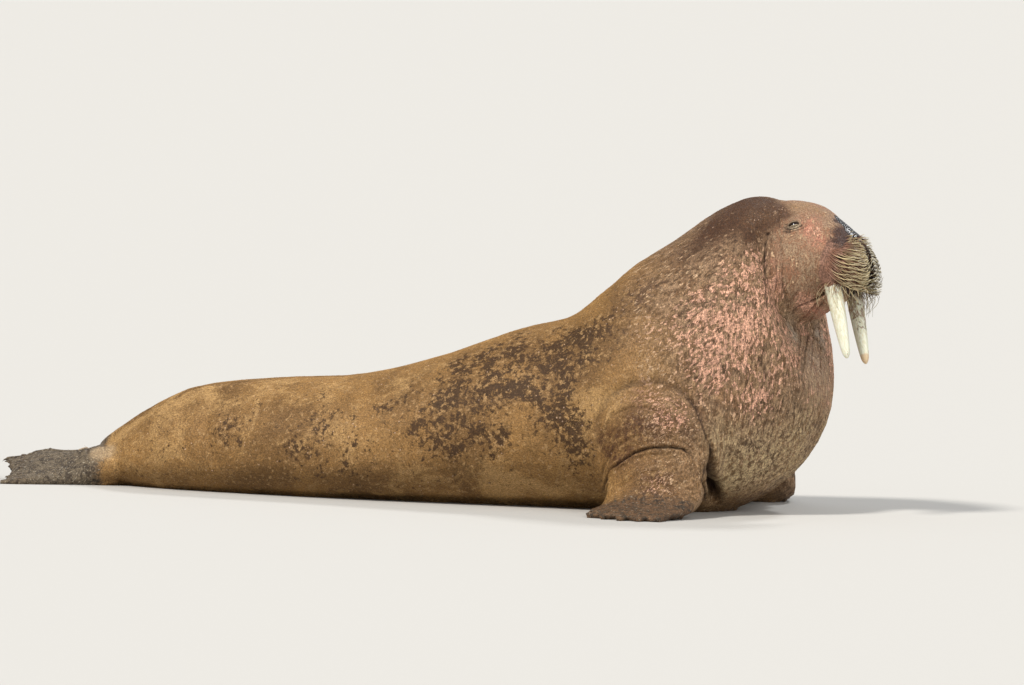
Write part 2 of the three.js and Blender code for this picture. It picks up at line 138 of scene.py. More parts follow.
evened.mode = "VOXEL"
evened.voxel_size = mesh_step
evened.use_smooth_shade = True
bpy.context.view_layer.update()
whole = bpy.data.meshes.new_from_object(hide.evaluated_get(bpy.context.evaluated_depsgraph_get()))
hide.modifiers.remove(evened)


def turn_share(points):
    """How much of the head's turn each place takes: none on the trunk, a growing share along the neck."""
    along = 0.93 * points[:, 0] + 0.37 * points[:, 2]
    stations = (0.9, 0.94, 1.12, 1.24, 1.293, 1.33, 1.37)
    return np.interp(along, stations, (0, 0.04, 0.12, 0.3, 0.6, 0.9, 1))


def spun(points, angle, a, b):
    """Places turned by their own angles in the plane of two axes."""
    out = points.copy()
    out[:, a] = points[:, a] * np.cos(angle) - points[:, b] * np.sin(angle)
    out[:, b] = points[:, a] * np.sin(angle) + points[:, b] * np.cos(angle)
    return out


def straightened(points):
    """Places on the animal as if it looked straight ahead."""
    share = turn_share(points)
    pivot = np.array(head_pivot)
    return spun(spun(points - pivot, -share * head_turn, 0, 1), share * head_roll, 1, 2) + pivot


def mirrored(points):
    """The same places on the animal's other side."""
    share = turn_share(points)
    pivot = np.array(head_pivot)
    other = (straightened(points) * (1, -1, 1)) - pivot
    return spun(spun(other, -share * head_roll, 1, 2), share * head_turn, 0, 1) + pivot


def eased(x, low, high):
    """0 below low, 1 above high, with a soft step between."""
    t = np.clip((x - low) / (high - low), 0, 1)
    return t * t * (3 - 2 * t)


def relax(shape, rounds, chosen=lambda place: True):
    """Smooths the chosen part; each round pushes back what it pulled in, so that nothing shrinks."""
    corners = [corner for corner in shape.verts if chosen(corner.co)]
    for _ in range(rounds):
        for pull in (0.5, -0.51):
            bmesh.ops.smooth_vert(shape, verts=corners, factor=pull, use_axis_x=True, use_axis_y=True,
                                  use_axis_z=True)


def finer(shape, chosen):
    """Halves the mesh step in the chosen part of a shape."""
    picked = {corner for corner in shape.verts if chosen(corner.co)}
    edges = [edge for edge in shape.edges if edge.verts[0] in picked and edge.verts[1] in picked]
    bmesh.ops.subdivide_edges(shape, edges=edges, cuts=1, use_grid_fill=True)
    relax(shape, 3, chosen)


def largest_piece(shape):
    """Keeps the one surface with the most corners."""
    left, pieces = set(shape.verts), []
    while left:
        ring = [left.pop()]
        piece = set(ring)
        while ring:
            near = {edge.other_vert(corner) for corner in ring for edge in corner.link_edges} - piece
            piece |= near
            ring = list(near)
        left -= piece
        pieces.append(piece)
    kept = max(pieces, key=len)
    bmesh.ops.delete(shape, geom=[corner for corner in shape.verts if corner not in kept], context="VERTS")


def is_limb(place):
    """The flat of a flipper, which is too thin to be smoothed much."""
    return (abs(place.y) > 0.5 and place.z < 0.14) or place.x < -1.66


def is_head(place):
    return place.x > 0.93 and place.z > 0.66 and 0.93 * place.x + 0.37 * place.z > 1.27


eye_at = {name: sum(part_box(f"eye_{name}"), Vector()) / 2 for name in sides}
nose_at = on_head(1.336, 0, 1.053)
lids_reach, nose_reach, slit_reach = 0.044, 0.05, 0.036


def is_fine(place):
    near_lids = any((place - middle).length < lids_reach for middle in eye_at.values())
    return near_lids or (place - nose_at).length < nose_reach


def is_eye(place):
    return any((place - middle).length < slit_reach for middle in eye_at.values())


shape = bmesh.new()
shape.from_mesh(whole)
bpy.data.meshes.remove(whole)
largest_piece(shape)
relax(shape, 14, lambda place: not is_limb(place))
relax(shape, 3, is_limb)
finer(shape, is_head)
finer(shape, is_fine)
finer(shape, is_eye)


# Folds and furrows: the hide bulges over the arms and the neck and creases between. Each line was read off
# the picture on the animal's right, where it lies on the hide, and is repeated on the left.
animal_from_lens = (34.5, 37.6)


def seen(px, py):
    """The place on the hide behind a pixel of the picture, or the nearest one to that line of sight."""
    hit = touch.ray_cast(view_from, sight(px, py))[0]
    if hit:
        return hit
    steps = np.arange(*animal_from_lens, 0.1)
    tries = [touch.find_nearest(view_from + sight(px, py) * away) for away in steps]
    return min(tries, key=lambda near: near[3])[0]


def laid(pixels, step=0.004):
    """A line over the hide through pixels of the picture, as even close points."""
    knots = np.array([seen(*pixel) for pixel in pixels])
    span = np.r_[0, np.cumsum(np.linalg.norm(np.diff(knots, axis=0), axis=1))]
    even = np.linspace(0, span[-1], max(3, int(span[-1] / step)))
    line = np.stack([np.interp(even, span, knots[:, k]) for k in range(3)], axis=1)
    return np.array([touch.find_nearest(point)[0] for point in line])


def other_side(line, ahead=0.0):
    """The same line on the animal's left, set ahead where that limb lies further forward."""
    there = mirrored(line) + (ahead, 0, 0)
    return np.array([touch.find_nearest(point)[0] for point in there])


def both_sides(pixels, ahead=0.0):
    """A line on the animal's right and, unless its lead is None, the same line on its left."""
    line = laid(pixels)
    return (line,) if ahead is None else (line, other_side(line, ahead))


def between(a, b, share):
    return [tuple((1 - share) * p + share * q for p, q in zip(u, w)) for u, w in zip(a, b)]


arm_lead = 0.1
arm_outer = [(597, 446), (598, 420), (608, 398), (630, 384), (660, 381), (685, 394), (697, 409), (704, 427),
             (708, 444)]
arm_middle = [(600, 462), (602, 438), (613, 415), (633, 406), (656, 410), (676, 421), (690, 433), (697, 442),
              (702, 452)]
arm_inner = [(602, 494), (608, 478), (618, 464), (634, 453), (650, 448), (668, 447), (683, 449), (692, 456),
             (697, 467)]
# the armpit: a deep furrow whose crease also carries strong painted shade between arm and chest
armpit = [(709, 437), (712, 447), (713, 457), (713, 468), (713, 479), (713, 491), (716, 503)]
# pixels of the picture, half-width and depth in metres, the lip's share, and how far ahead the left's lies
folds = [
    (arm_outer, 0.015, 0.005, 0.5, arm_lead),
    (arm_outer[5:], 0.006, 0.008, 0.4, arm_lead),
    (arm_middle, 0.011, 0.004, 0.5, arm_lead),
    (arm_middle[2:6], 0.005, 0.004, 0.4, arm_lead),
    (arm_inner, 0.0055, 0.011, 0.5, arm_lead),
    (armpit, 0.012, 0.024, 0.2, arm_lead),
    (armpit[2:], 0.019, 0.03, 0.1, arm_lead),
    (armpit[4:], 0.025, 0.03, 0.05, arm_lead),
    ([(709, 460), (706, 470), (704, 482), (704, 494), (706, 504)], 0.017, 0.016, 0.0, arm_lead),
    ([(709, 464), (709, 480), (710, 498)], 0.013, 0.012, 0.0, arm_lead),
    (between(arm_outer, arm_middle, 0.5), 0.007, 0.0016, 0.4, arm_lead),
    (between(arm_middle, arm_inner, 0.3), 0.006, 0.0018, 0.4, arm_lead),
    (between(arm_middle, arm_inner, 0.65), 0.006, 0.0026, 0.4, arm_lead),
    ([(612, 505), (622, 486), (640, 474), (664, 470), (684, 474), (694, 486)], 0.007, 0.0022, 0.4, arm_lead),
    ([(622, 508), (634, 494), (656, 486), (678, 488), (690, 500)], 0.007, 0.0018, 0.4, arm_lead),
    ([(768, 233), (766, 244), (765, 258), (765, 276), (766, 294), (768, 312)], 0.005, 0.0085, 0.45, 0),
    ([(773, 226), (771, 244), (770, 262), (771, 282)], 0.0045, 0.004, 0.4, 0),
    ([(766, 300), (763, 322), (760, 348)], 0.005, 0.002, 0.4, 0),
    ([(779, 208), (779, 222), (781, 240), (782, 262), (783, 287), (788, 306)], 0.005, 0.0056, 0.4, 0),
    ([(770, 240), (775, 256), (777, 276), (775, 298)], 0.005, 0.0048, 0.4, 0),
    ([(752, 226), (749, 250), (748, 276), (750, 304)], 0.006, 0.0024, 0.4, 0),
    ([(740, 260), (736, 290), (735, 322)], 0.007, 0.002, 0.4, 0),
    ([(826, 292), (821, 296), (816, 299), (811, 301)], 0.0042, 0.0125, 0.4, 0),
    ([(815, 299), (806, 303), (797, 307), (790, 315)], 0.0035, 0.0072, 0.5, 0),
    ([(825, 300), (818, 308), (812, 316), (807, 323)], 0.0038, 0.0082, 0.5, 0),
    ([(820, 299), (811, 309), (803, 318), (797, 329)], 0.0035, 0.0064, 0.5, 0),
    ([(803, 286), (793, 296), (787, 308), (786, 324)], 0.005, 0.004, 0.4, 0),
    ([(809, 322), (808, 336), (805, 352), (803, 372)], 0.005, 0.009, 0.5, None),
    ([(814, 321), (813, 334), (812, 350), (811, 370)], 0.0045, 0.01, 0.5, None),
    ([(819, 319), (819, 333), (820, 350), (820, 372)], 0.0045, 0.01, 0.5, None),
    ([(823, 317), (826, 334), (828, 352), (829, 372)], 0.0045, 0.009, 0.5, None),
    ([(802, 330), (799, 350), (796, 372)], 0.005, 0.006, 0.5, 0),
    ([(829, 398), (822, 424), (806, 448), (780, 472), (748, 490)], 0.008, 0.0062, 0.4, None),
    ([(823, 394), (815, 420), (799, 442), (772, 466), (738, 485)], 0.008, 0.0042, 0.4, None),
    ([(826, 411), (817, 436), (798, 458), (774, 476)], 0.007, 0.0044, 0.4, None),
    ([(812, 400), (804, 424), (786, 446), (758, 466)], 0.008, 0.0036, 0.4, None),
    ([(824, 428), (808, 456), (786, 478), (756, 498)], 0.009, 0.0062, 0.4, None),
    ([(586, 398), (578, 424), (582, 452), (594, 480)], 0.03, 0.006, 0.3, 0),
    ([(560, 372), (548, 402), (548, 438), (556, 470)], 0.026, 0.0026, 0.3, 0),
    ([(512, 350), (500, 386), (498, 424)], 0.024, 0.0018, 0.3, 0),
    ([(176, 440), (182, 452), (188, 462)], 0.009, 0.003, 0.4, 0),
    ([(214, 398), (206, 422), (210, 448), (222, 470)], 0.03, 0.006, 0.25, 0),
    ([(92, 440), (89, 447), (90, 457)], 0.007, 0.005, 0.4, 0),
    ([(106, 436), (104, 444), (108, 454)], 0.009, 0.004, 0.4, 0),
]
bulges = [  # pixel, reach and height in metres
    ((165, 420), 0.11, 0.009), ((268, 430), 0.15, 0.006), ((648, 415), 0.09, 0.004),
    ((640, 485), 0.07, 0.004), ((760, 430), 0.16, 0.006), ((745, 300), 0.13, 0.005),
    ((812, 262), 0.045, 0.003), ((84, 450), 0.03, 0.004),
]
touch = BVHTree.FromBMesh(shape)
narrow_width, deep_depth, fold_cell = 0.0075, 0.012, 0.013
dark_depth, broad_width = 0.009, 0.03
for least_width in (narrow_width, 0):
    lines = np.vstack([line for pixels, width, depth, lip, ahead in folds
                       if width < least_width or depth > deep_depth
                       for line in both_sides(pixels, ahead)])
    cells = {tuple(cell) for cell in np.round(lines / fold_cell).astype(int)}
    close = {(x + i, y + j, z + k) for x, y, z in cells for i, j, k in product((-1, 0, 1), repeat=3)}
    finer(shape, lambda place: not is_head(place) and tuple(round(c / fold_cell) for c in place) in close)
bmesh.ops.recalc_face_normals(shape, faces=shape.faces)
shape.to_mesh(hide_mesh)
shape.free()


def read(mesh):
    """Places and outward directions of a mesh's corners."""
    places = np.empty(3 * len(mesh.vertices))
    mesh.vertices.foreach_get("co", places)
    mesh.update()
    outward = np.empty(3 * len(mesh.vertices))
    mesh.vertex_normals.foreach_get("vector", outward)
    return places.reshape(-1, 3), outward.reshape(-1, 3)


def surface(mesh, places):
    """Sets the mesh's corners and gives its surface for later lines to lie on."""
    mesh.vertices.foreach_set("co", places.ravel())
    mesh.update()
    return BVHTree.FromPolygons([v.co for v in mesh.vertices], [p.vertices for p in mesh.polygons])


def press(places, height, crease, line, width, depth, lip, fade=0.18):
    """Adds a furrow along a line to the height of the hide, with raised lips, and notes the painted shade of
    its crease.
    """
    reach = 4 * width
    inside = np.all((places > line.min(0) - reach) & (places < line.max(0) + reach), axis=1)
    chosen = np.nonzero(inside)[0]
    if not len(chosen):
        return
    gap = np.linalg.norm(places[chosen, None] - line[None], axis=2)
    along = gap.argmin(1) / max(1, len(line) - 1)
    gap = gap.min(1)
    strength = np.clip(np.minimum(along, 1 - along) / fade + 0.25, 0, 1)
    groove = strength * np.exp(-((gap / width) ** 2))
    height[chosen] += depth * (lip * strength * np.exp(-(((gap - 1.9 * width) / width) ** 2)) - groove)
    # how dark the crease's painted shade gets: full from dark_depth on, none in furrows as broad as
    # broad_width
    darkness = np.clip(depth / dark_depth, 0.2, 1) * (width < broad_width)
    crease[chosen] = np.maximum(crease[chosen], groove * darkness)


places, outward = read(hide_mesh)
touch = surface(hide_mesh, places - outward * coat_depth)
# how much painted shade each corner gets in creases, furrows and openings
crease = np.zeros(len(places))
places, outward = read(hide_mesh)
front_edge = (0.55, 1.02)
front = eased(places[:, 0] + 0.3 * places[:, 2], *front_edge)
height = np.zeros(len(places))
for pixel, reach, rise in bulges:
    spot = np.array([seen(*pixel)])
    for middle in (spot, other_side(spot)):
        height += rise * np.exp(-(((places - middle) ** 2).sum(1) / reach ** 2))
for k, place in enumerate(places):
    place = Vector(place)
    lump = 0.0022 * noise.noise(place * 7) + 0.0011 * noise.noise(place * 17)
    height[k] += lump + 0.0016 * front[k] * noise.noise(place * Vector((34, 34, 11)))
touch = surface(hide_mesh, places + outward * height[:, None])
places, outward = read(hide_mesh)
height = np.zeros(len(places))
for pixels, width, depth, lip, ahead in folds:
    for line in both_sides(pixels, ahead):
        press(places, height, crease, line, width, depth, lip)
touch = surface(hide_mesh, places + outward * height[:, None])


# Lids, ears and nostrils: soft folds of the hide round small openings. The eye shows as a slit between two
# rolled lids, tilted up towards the nose, with fine wrinkles fanning out behind and below it.
def frame_at(middle, ahead):
    """The place on the hide near a point, and the hide's forward, up and outward directions there."""
    place, out = touch.find_nearest(middle)[:2]
    along = (ahead - out * ahead.dot(out)).normalized()
    rise = out.cross(along)
    return place, along, rise if rise.z > 0 else -rise, out


def local(places, middle, along, rise, out):
    """How far places lie forward, up and outward of a spot, in millimetres."""
    away = places - np.array(middle)
    return tuple(1000 * (away @ np.array(axis)) for axis in (along, rise, out))


def mound(x, y=0.0, power=2):
    """1 in the middle and soft to 0 outside; a power of 4 gives it a flat top."""
    return np.exp(-np.abs(x) ** power - np.abs(y) ** power)


def work(axes, reach, rise, shadow=None):
    """Raises or sinks the hide near a spot by millimetres, and notes the painted shade of the creases it
    makes.
    """
    near = np.all([np.abs(axis) < limit for axis, limit in zip(axes, reach)], axis=0)
    places[near] += outward[near] * (rise[near, None] / 1000)
    if shadow is not None:
        crease[near] = np.maximum(crease[near], np.clip(shadow, 0, 1)[near])


places, outward = read(hide_mesh)
head_ahead = (head_pose.to_3x3() @ Vector((1, 0, 0))).normalized()
eye_frames = {}
lid_tilt, eye_half_length, eye_half_height = math.radians(30), 20.0, 3.6
for name, side in sides.items():
    middle, along, rise, out = frame_at(eye_at[name], head_ahead)
    tilt = Matrix.Rotation(lid_tilt * (1 if along.cross(rise).dot(out) > 0 else -1), 3, out)
    along, rise = tilt @ along, tilt @ rise
    eye_frames[name] = (middle, along, rise, out)
    axes = a, b, c = local(places, middle, along, rise, out)
    half = eye_half_height * np.sqrt(np.clip(1 - (a / eye_half_length) ** 2, 0, 1))
    line = 1.5 - 0.006 * a ** 2
    opening = (1 - eased(np.abs(b - line), half, half + 2.4)) * (np.abs(a) < eye_half_length + 1)
    upper = mound((b - line - half - 4.6) / 3.2) * mound(a / 25, 0, 4)
    lower = mound((line - half - 4.0 - b) / 2.6) * mound(a / 23, 0, 4)
    arcs = sum(depth * mound((np.hypot(a * 0.66, b - line) - r) / 2.2)
               for r, depth in ((12.5, 2.0), (20.0, 2.4), (28.0, 1.8))) * (b < line - 3)
    brow = 2.2 * mound((b - line - 13 + 0.006 * a ** 2) / 2.4) * mound(a / 28, 0, 4)
    turn = np.arctan2(b - line, -(a + 14))
    fan = sum(mound((turn - angle) / 0.13) for angle in (-1.2, -0.72, -0.24, 0.24, 0.7))
    away = np.hypot(a + 14, b - line)
    fan = 2.2 * fan * eased(away, 7, 11) * (1 - eased(away, 24, 38)) * (a < -12)
    wrinkle = arcs + brow + fan
    # painted shade: the eye's slit, the line under the upper lid and the wrinkles are darkened
    shadow = opening + mound((b - line - half - 1.0) / 3.0) * mound(a / 25, 0, 4) + 0.36 * wrinkle
    work(axes, (70, 60, 45), -12.0 * opening + 2.6 * upper + 2.0 * lower - wrinkle, shadow)

    ear = seen(767.5, 234)
    ear = Vector(ear if side < 0 else other_side(np.array([ear]))[0])
    axes = a, b, c = local(places, *frame_at(ear, head_ahead))
    hole = mound((a - 0.1 * b) / 6, b / 9)
    # the ear hole is darkened with painted shade
    work(axes, (40, 40, 40), -12 * hole + 3.0 * mound((a + 12) / 6, b / 15), hole)

    nostril = on_head(1.337, side * 0.029, 1.05)
    axes = a, b, c = local(places, *frame_at(nostril, Vector((0, side, 0))))
    bend = b - 0.02 * a ** 2 + 3
    dip = -9 * (1 - eased(np.abs(bend), 1.5, 6)) * (1 - eased(np.abs(a), 10, 16))
    rim = 2.2 * mound((bend - 9) / 4) * (1 - eased(np.abs(a), 12, 20))
    work(axes, (35, 35, 30), dip + rim)
sole_height, floor_gap = 0.012, 0.0005
places[places[:, 2] < sole_height, 2] = floor_gap
touch = surface(hide_mesh, places)

# Markings of the hide, carried as named shares on its corners and on every tuft of the coat: golden brown
# behind with dark clouds, a chocolate nape, pink bosses and scars on neck and chest, a rosy face and a black
# nose.
def brushed(places, spots):
    """The strength of a marking set down in soft spots: pixel of the picture, reach in metres, strength."""
    here = straightened(places)
    here[:, 1] = -np.abs(here[:, 1])
    total = np.zeros(len(places))
    for px, py, reach, strength in spots:
        spot = straightened(np.array([seen(px, py)]))
        spot[:, 1] = -np.abs(spot[:, 1])
        total += strength * np.exp(-(((here - spot) ** 2).sum(1) / reach ** 2))
    return np.clip(total, 0, 1)


brushwork = {
    "flecked": [(655, 430, 0.11, 0.9), (655, 488, 0.1, 0.9), (690, 440, 0.06, 0.6), (620, 400, 0.07, 0.5)],
    "clouds": [(470, 420, 0.13, 0.9), (440, 440, 0.12, 0.8), (525, 370, 0.15, 1.0), (555, 425, 0.1, 0.8),
               (490, 375, 0.09, 0.8), (460, 375, 0.08, 0.6), (390, 405, 0.06, 0.8), (570, 350, 0.1, 0.7),
               (300, 440, 0.12, 0.6), (225, 432, 0.09, 0.8), (590, 335, 0.12, 0.7), (640, 300, 0.12, 0.7),
               (350, 468, 0.12, 0.6), (585, 470, 0.09, 0.5), (670, 265, 0.12, 0.5), (560, 340, 0.12, 0.5),
               (270, 405, 0.07, 0.4), (530, 330, 0.08, 0.5), (470, 358, 0.09, 0.8), (505, 348, 0.09, 0.7),
               (420, 395, 0.07, 0.6), (580, 440, 0.08, 0.7), (330, 410, 0.08, 0.5), (545, 395, 0.09, 0.6),
               (500, 440, 0.07, 0.6), (420, 430, 0.08, 0.6), (575, 380, 0.07, 0.6), (455, 395, 0.07, 0.7),
               (610, 340, 0.08, 0.5)],
    "nape": [(738, 212, 0.12, 0.9), (712, 230, 0.09, 0.8), (766, 208, 0.06, 0.9), (690, 250, 0.08, 0.5),
             (757, 226, 0.07, 0.9), (773, 221, 0.04, 0.8), (777, 209, 0.036, 1.0), (787, 215, 0.026, 0.8),
             (750, 240, 0.06, 0.5), (745, 200, 0.07, 0.9), (764, 199, 0.06, 0.9), (722, 207, 0.07, 0.7)],
    "ridge": [(792, 206, 0.032, 0.9), (806, 206, 0.034, 0.9), (820, 211, 0.03, 0.7)],
    "pink": [(812, 232, 0.035, 0.6), (777, 283, 0.04, 0.6), (806, 305, 0.04, 0.7), (772, 305, 0.09, 0.8),
             (742, 330, 0.12, 0.8), (790, 350, 0.1, 0.8), (712, 366, 0.12, 0.7),
             (700, 310, 0.11, 0.5), (762, 400, 0.1, 0.6), (803, 330, 0.05, 0.7), (655, 330, 0.11, 0.25),
             (735, 275, 0.09, 0.5), (672, 415, 0.08, 0.5), (757, 262, 0.07, 0.5), (812, 400, 0.08, 0.4),
             (800, 300, 0.04, 0.6), (640, 395, 0.07, 0.4), (655, 485, 0.07, 0.3)],
    "olive": [(760, 462, 0.14, 0.9), (804, 430, 0.1, 0.7), (724, 480, 0.1, 0.8), (720, 440, 0.08, 0.6),
              (790, 470, 0.1, 0.7), (826, 390, 0.07, 0.5), (806, 262, 0.05, 0.5), (790, 255, 0.04, 0.4)],
    # golden patches of the hide; the spots along the lower belly are painted light, lifting it where it curves
    # into shade
    "gold_and_painted_light": [(160, 412, 0.14, 0.8), (120, 436, 0.08, 0.7), (280, 388, 0.14, 0.5), (400, 380, 0.12, 0.4),
             (600, 400, 0.08, 0.9), (590, 440, 0.07, 0.7), (340, 430, 0.1, 0.4), (660, 368, 0.08, 0.5),
             (200, 395, 0.12, 0.5), (480, 350, 0.08, 0.3), (560, 490, 0.09, 0.6), (790, 209, 0.045, 0.9),
             (500, 490, 0.12, 0.8), (430, 480, 0.09, 0.5)],
    "rust": [(655, 488, 0.1, 1.0), (635, 425, 0.08, 1.0), (665, 425, 0.07, 0.7), (606, 440, 0.06, 1.0),
             (620, 455, 0.06, 1.0), (690, 430, 0.05, 0.7), (640, 395, 0.05, 0.5), (775, 225, 0.05, 0.4)],
    "ashen": [(820, 338, 0.05, 0.9), (812, 362, 0.05, 0.6), (793, 226, 0.012, 0.6)],
    # rosy skin of the face; the spots on the jaw below the mouth are painted light, lifting the jaw out of its
    # shade
    "rosy_and_painted_light": [(812, 224, 0.036, 0.9), (819, 240, 0.034, 1.0), (806, 232, 0.025, 0.6), (774, 262, 0.03, 0.6),
             (803, 300, 0.04, 0.6), (819, 310, 0.03, 0.9), (809, 312, 0.04, 0.5), (829, 262, 0.018, 0.3),
             (830, 277, 0.018, 0.3), (778, 290, 0.03, 0.5)],
    "heel": [(84, 447, 0.045, 1.0), (98, 452, 0.05, 0.9), (113, 450, 0.05, 0.5)],
    "bridge": [(834, 219, 0.02, 0.8), (840, 223, 0.02, 0.9), (834, 229, 0.022, 0.6), (842, 231, 0.022, 1.0),
               (838, 238, 0.02, 0.7), (846, 237, 0.02, 1.0)],
}


def markings(places):
    """Each marking's share at the given places."""
    here = straightened(places)
    shares = {name: brushed(places, marks) for name, marks in brushwork.items()}
    away = np.abs(here[:, 1])
    nose = eased(here[:, 0], 1.185, 1.235) * eased(here[:, 2] + 0.1 * away, 1.018, 1.064)
    nose *= 1 - eased(away - 0.3 * (here[:, 0] - 1.27), 0.026, 0.06)
    dusky = eased(here[:, 0] - 0.3 * away, 1.16, 1.29) * eased(here[:, 2] + 0.12 * away, 0.985, 1.04)
    dusky = np.maximum(dusky, shares.pop("bridge"))
    padded = np.zeros(len(places))
    for side in sides.values():
        from_pad = (here - np.array(pad_middle) * (1, side, 1)) / np.array(pad_size)
        padded = np.maximum(padded, 1 - eased(np.linalg.norm(from_pad, axis=1), 1.02, 1.22))
    shares["nose"] = nose
    shares["dusky"] = dusky
    shares["pad"] = padded * (1 - nose)
    shares["face"] = eased(here[:, 0] + 0.25 * here[:, 2], 1.22, 1.38)
    shares["fore"] = eased(np.abs(places[:, 1]), 0.52, 0.7) * eased(-places[:, 2], -0.17, -0.06)
    shares["hind"] = eased(-places[:, 0], 1.56, 1.68)
    shares["front"] = eased(here[:, 0] + 0.3 * here[:, 2], *front_edge)
    shares["lid"] = np.zeros(len(places))
    for name in sides:
        a, b, c = local(places, *eye_frames[name])
        shares["lid"] = np.maximum(shares["lid"], mound(np.hypot(a / 34, (b + 5) / 24), c / 30, 4))
    shares["crease"] = crease
    return {name: share.astype(np.float32) for name, share in shares.items()}


def carry(mesh, shares):
    """Notes named shares on a mesh's corners."""
    for name, share in shares.items():
        mesh.attributes.new(name, "FLOAT", "POINT").data.foreach_set("value", share.astype(np.float32))


hide_places, hide_outward = read(hide_mesh)
hide_shares = markings(hide_places)
carry(hide_mesh, hide_shares)


# The finish of the hide: short fur over thick skin. Colours come from the markings, broken up by noise at the
# scale of clouds, bosses, scars and grains. It is pebbled, wrinkled and matte, but wet and black on the nose.
def plug(node, plugs):
    """Gives a node's sockets their values, or joins them to other nodes of the tree at hand."""
    for socket, value in dict(plugs).items():
        if isinstance(value, bpy.types.NodeSocket):
            tree.links.new(value, node.inputs[socket])
        else:
            node.inputs[socket].default_value = value


def put(kind, plugs=(), **traits):
    """A new node in the tree at hand, which is the group's or the material's that was made last."""
    made = tree.nodes.new("ShaderNode" + kind)
    for trait, value in traits.items():
        setattr(made, trait, value)
    plug(made, plugs)
    return made


def ramp(value, low, high, start=0.0, end=1.0):
    plugs = {0: value, 1: low, 2: high, 3: start, 4: end}
    return put("MapRange", plugs, interpolation_type="SMOOTHSTEP").outputs[0]


def times(a, b):
    return put("Math", {0: a, 1: b}, operation="MULTIPLY").outputs[0]


def weighed(a, by, onto):
    """A value times a weight, added onto another."""
    return put("Math", {0: a, 1: by, 2: onto}, operation="MULTIPLY_ADD").outputs[0]


def larger(a, b):
    return put("Math", {0: a, 1: b}, operation="MAXIMUM").outputs[0]


def over(share, under, colour, way="MIX"):
    """A colour laid over another by a share."""
    under, colour = (c if isinstance(c, bpy.types.NodeSocket) else (*c, 1) for c in (under, colour))
    return put("Mix", {0: share, 6: under, 7: colour}, data_type="RGBA", blend_type=way).outputs[2]


def layered(colour, *layers):
    """Colours laid one over the other: what shows each layer, from where to where, and its colour."""
    for value, limits, paint in layers:
        colour = over(ramp(value, *limits), colour, paint)
    return colour


def grey(value):
    return put("CombineColor", {0: value, 1: value, 2: value}).outputs[0]


def share_of(name):
    return put("Attribute", attribute_name=name, attribute_type="GEOMETRY").outputs["Fac"]


def grain(where, scale, detail=4.0, rough=0.55, twist=0.0):
    plugs = {"Vector": where, "Scale": scale, "Detail": detail, "Roughness": rough, "Distortion": twist}
    return put("TexNoise", plugs).outputs["Fac"]


def streaks(where, turn, size, detail=3.0, rough=0.6, twist=0.3):
    """Noise drawn out into streaks of the given size in metres, turned by angles about the three axes."""
    drawn = put("Mapping", {"Vector": where, "Rotation": turn, "Scale": size}, vector_type="TEXTURE")
    return grain(drawn.outputs[0], 1.0, detail, rough, twist)


def group(name, outputs):
    """An effect shared by several materials, with named outputs."""
    made = bpy.data.node_groups.new(name, "ShaderNodeTree")
    for socket, kind in outputs.items():
        made.interface.new_socket(name=socket, in_out="OUTPUT", socket_type=kind)
    return made


tree = group("hide_markings", {"Color": "NodeSocketColor", "Height": "NodeSocketFloat",
                               "Roughness": "NodeSocketFloat"})
where = put("TexCoord").outputs["Object"]
broad = grain(where, 3.0, 4, 0.6, 0.4)
patchy = grain(where, 6.5, 8, 0.74, 0.7)
spotted = grain(where, 52.0, 5, 0.72, 0.3)
mixed = grain(where, 16.0, 4, 0.6, 0.5)
fine = grain(where, 190.0, 4, 0.6)
upright = streaks(where, (0, 0.06, 0), (0.015, 0.015, 0.036), 5, 0.7)
leaning = streaks(where, (0, 0.95, 0), (0.016, 0.016, 0.034), 5, 0.7)
threads = streaks(where, (0, 0.06, 0), (0.0045, 0.0045, 0.04), 3, 0.6)
face_threads = streaks(where, (0.1, 0.12, 0), (0.0045, 0.0045, 0.022), 3, 0.6)
front = share_of("front")
face = share_of("face")
ahead = put("SeparateXYZ", {0: where}).outputs[0]
chesty = ramp(ahead, 0.78, 0.98)

# the trunk: golden brown with ragged dark clouds
# golden patches, with painted light along the lower belly
gold_and_painted_light = weighed(share_of("gold_and_painted_light"), 0.22, patchy)
colour = layered((0.15, 0.078, 0.025), (weighed(spotted, 0.6, broad), (0.62, 0.96), (0.31, 0.17, 0.056)),
                 (gold_and_painted_light, (0.5, 0.7, 0.0, 0.85), (0.43, 0.262, 0.105)))
bits = weighed(patchy, 0.36, times(spotted, 0.95))
bits = weighed(mixed, 0.44, bits)
clouds = share_of("clouds")
soft = times(clouds, ramp(patchy, 0.3, 0.6, 0.0, 0.4))
colour = over(soft, colour, (0.17, 0.092, 0.034))
colour = layered(colour, (weighed(clouds, 0.19, bits), (1.005, 1.095, 0.0, 0.93), (0.052, 0.024, 0.008)),
                 (spotted, (0.56, 0.66, 0.0, 0.6), (0.095, 0.048, 0.018)),
                 (spotted, (0.46, 0.37, 0.0, 0.6), (0.48, 0.3, 0.135)))

# shoulder, neck and chest: olive and grey brown, streaked
streaky = over(chesty, leaning, upright)
bared = layered((0.074, 0.039, 0.021), (streaky, (0.4, 0.58), (0.35, 0.225, 0.135)),
                (mixed, (0.42, 0.66, 0.0, 0.6), (0.18, 0.092, 0.048)))
colour = over(times(front, ramp(patchy, 0.3, 0.66, 0.6, 0.96)), colour, bared)
masks = {}
for name, broken_by, limits, paint in (("rust", bits, (0.74, 0.94, 0.15, 0.95), (0.085, 0.036, 0.015)),
                                       ("olive", streaky, (0.42, 0.58, 0.1, 0.95), (0.56, 0.425, 0.24)),
                                       ("ashen", streaky, (0.4, 0.6, 0.05, 0.95), (0.42, 0.39, 0.33))):
    masks[name] = times(share_of(name), ramp(broken_by, *limits))
    colour = over(masks[name], colour, paint)

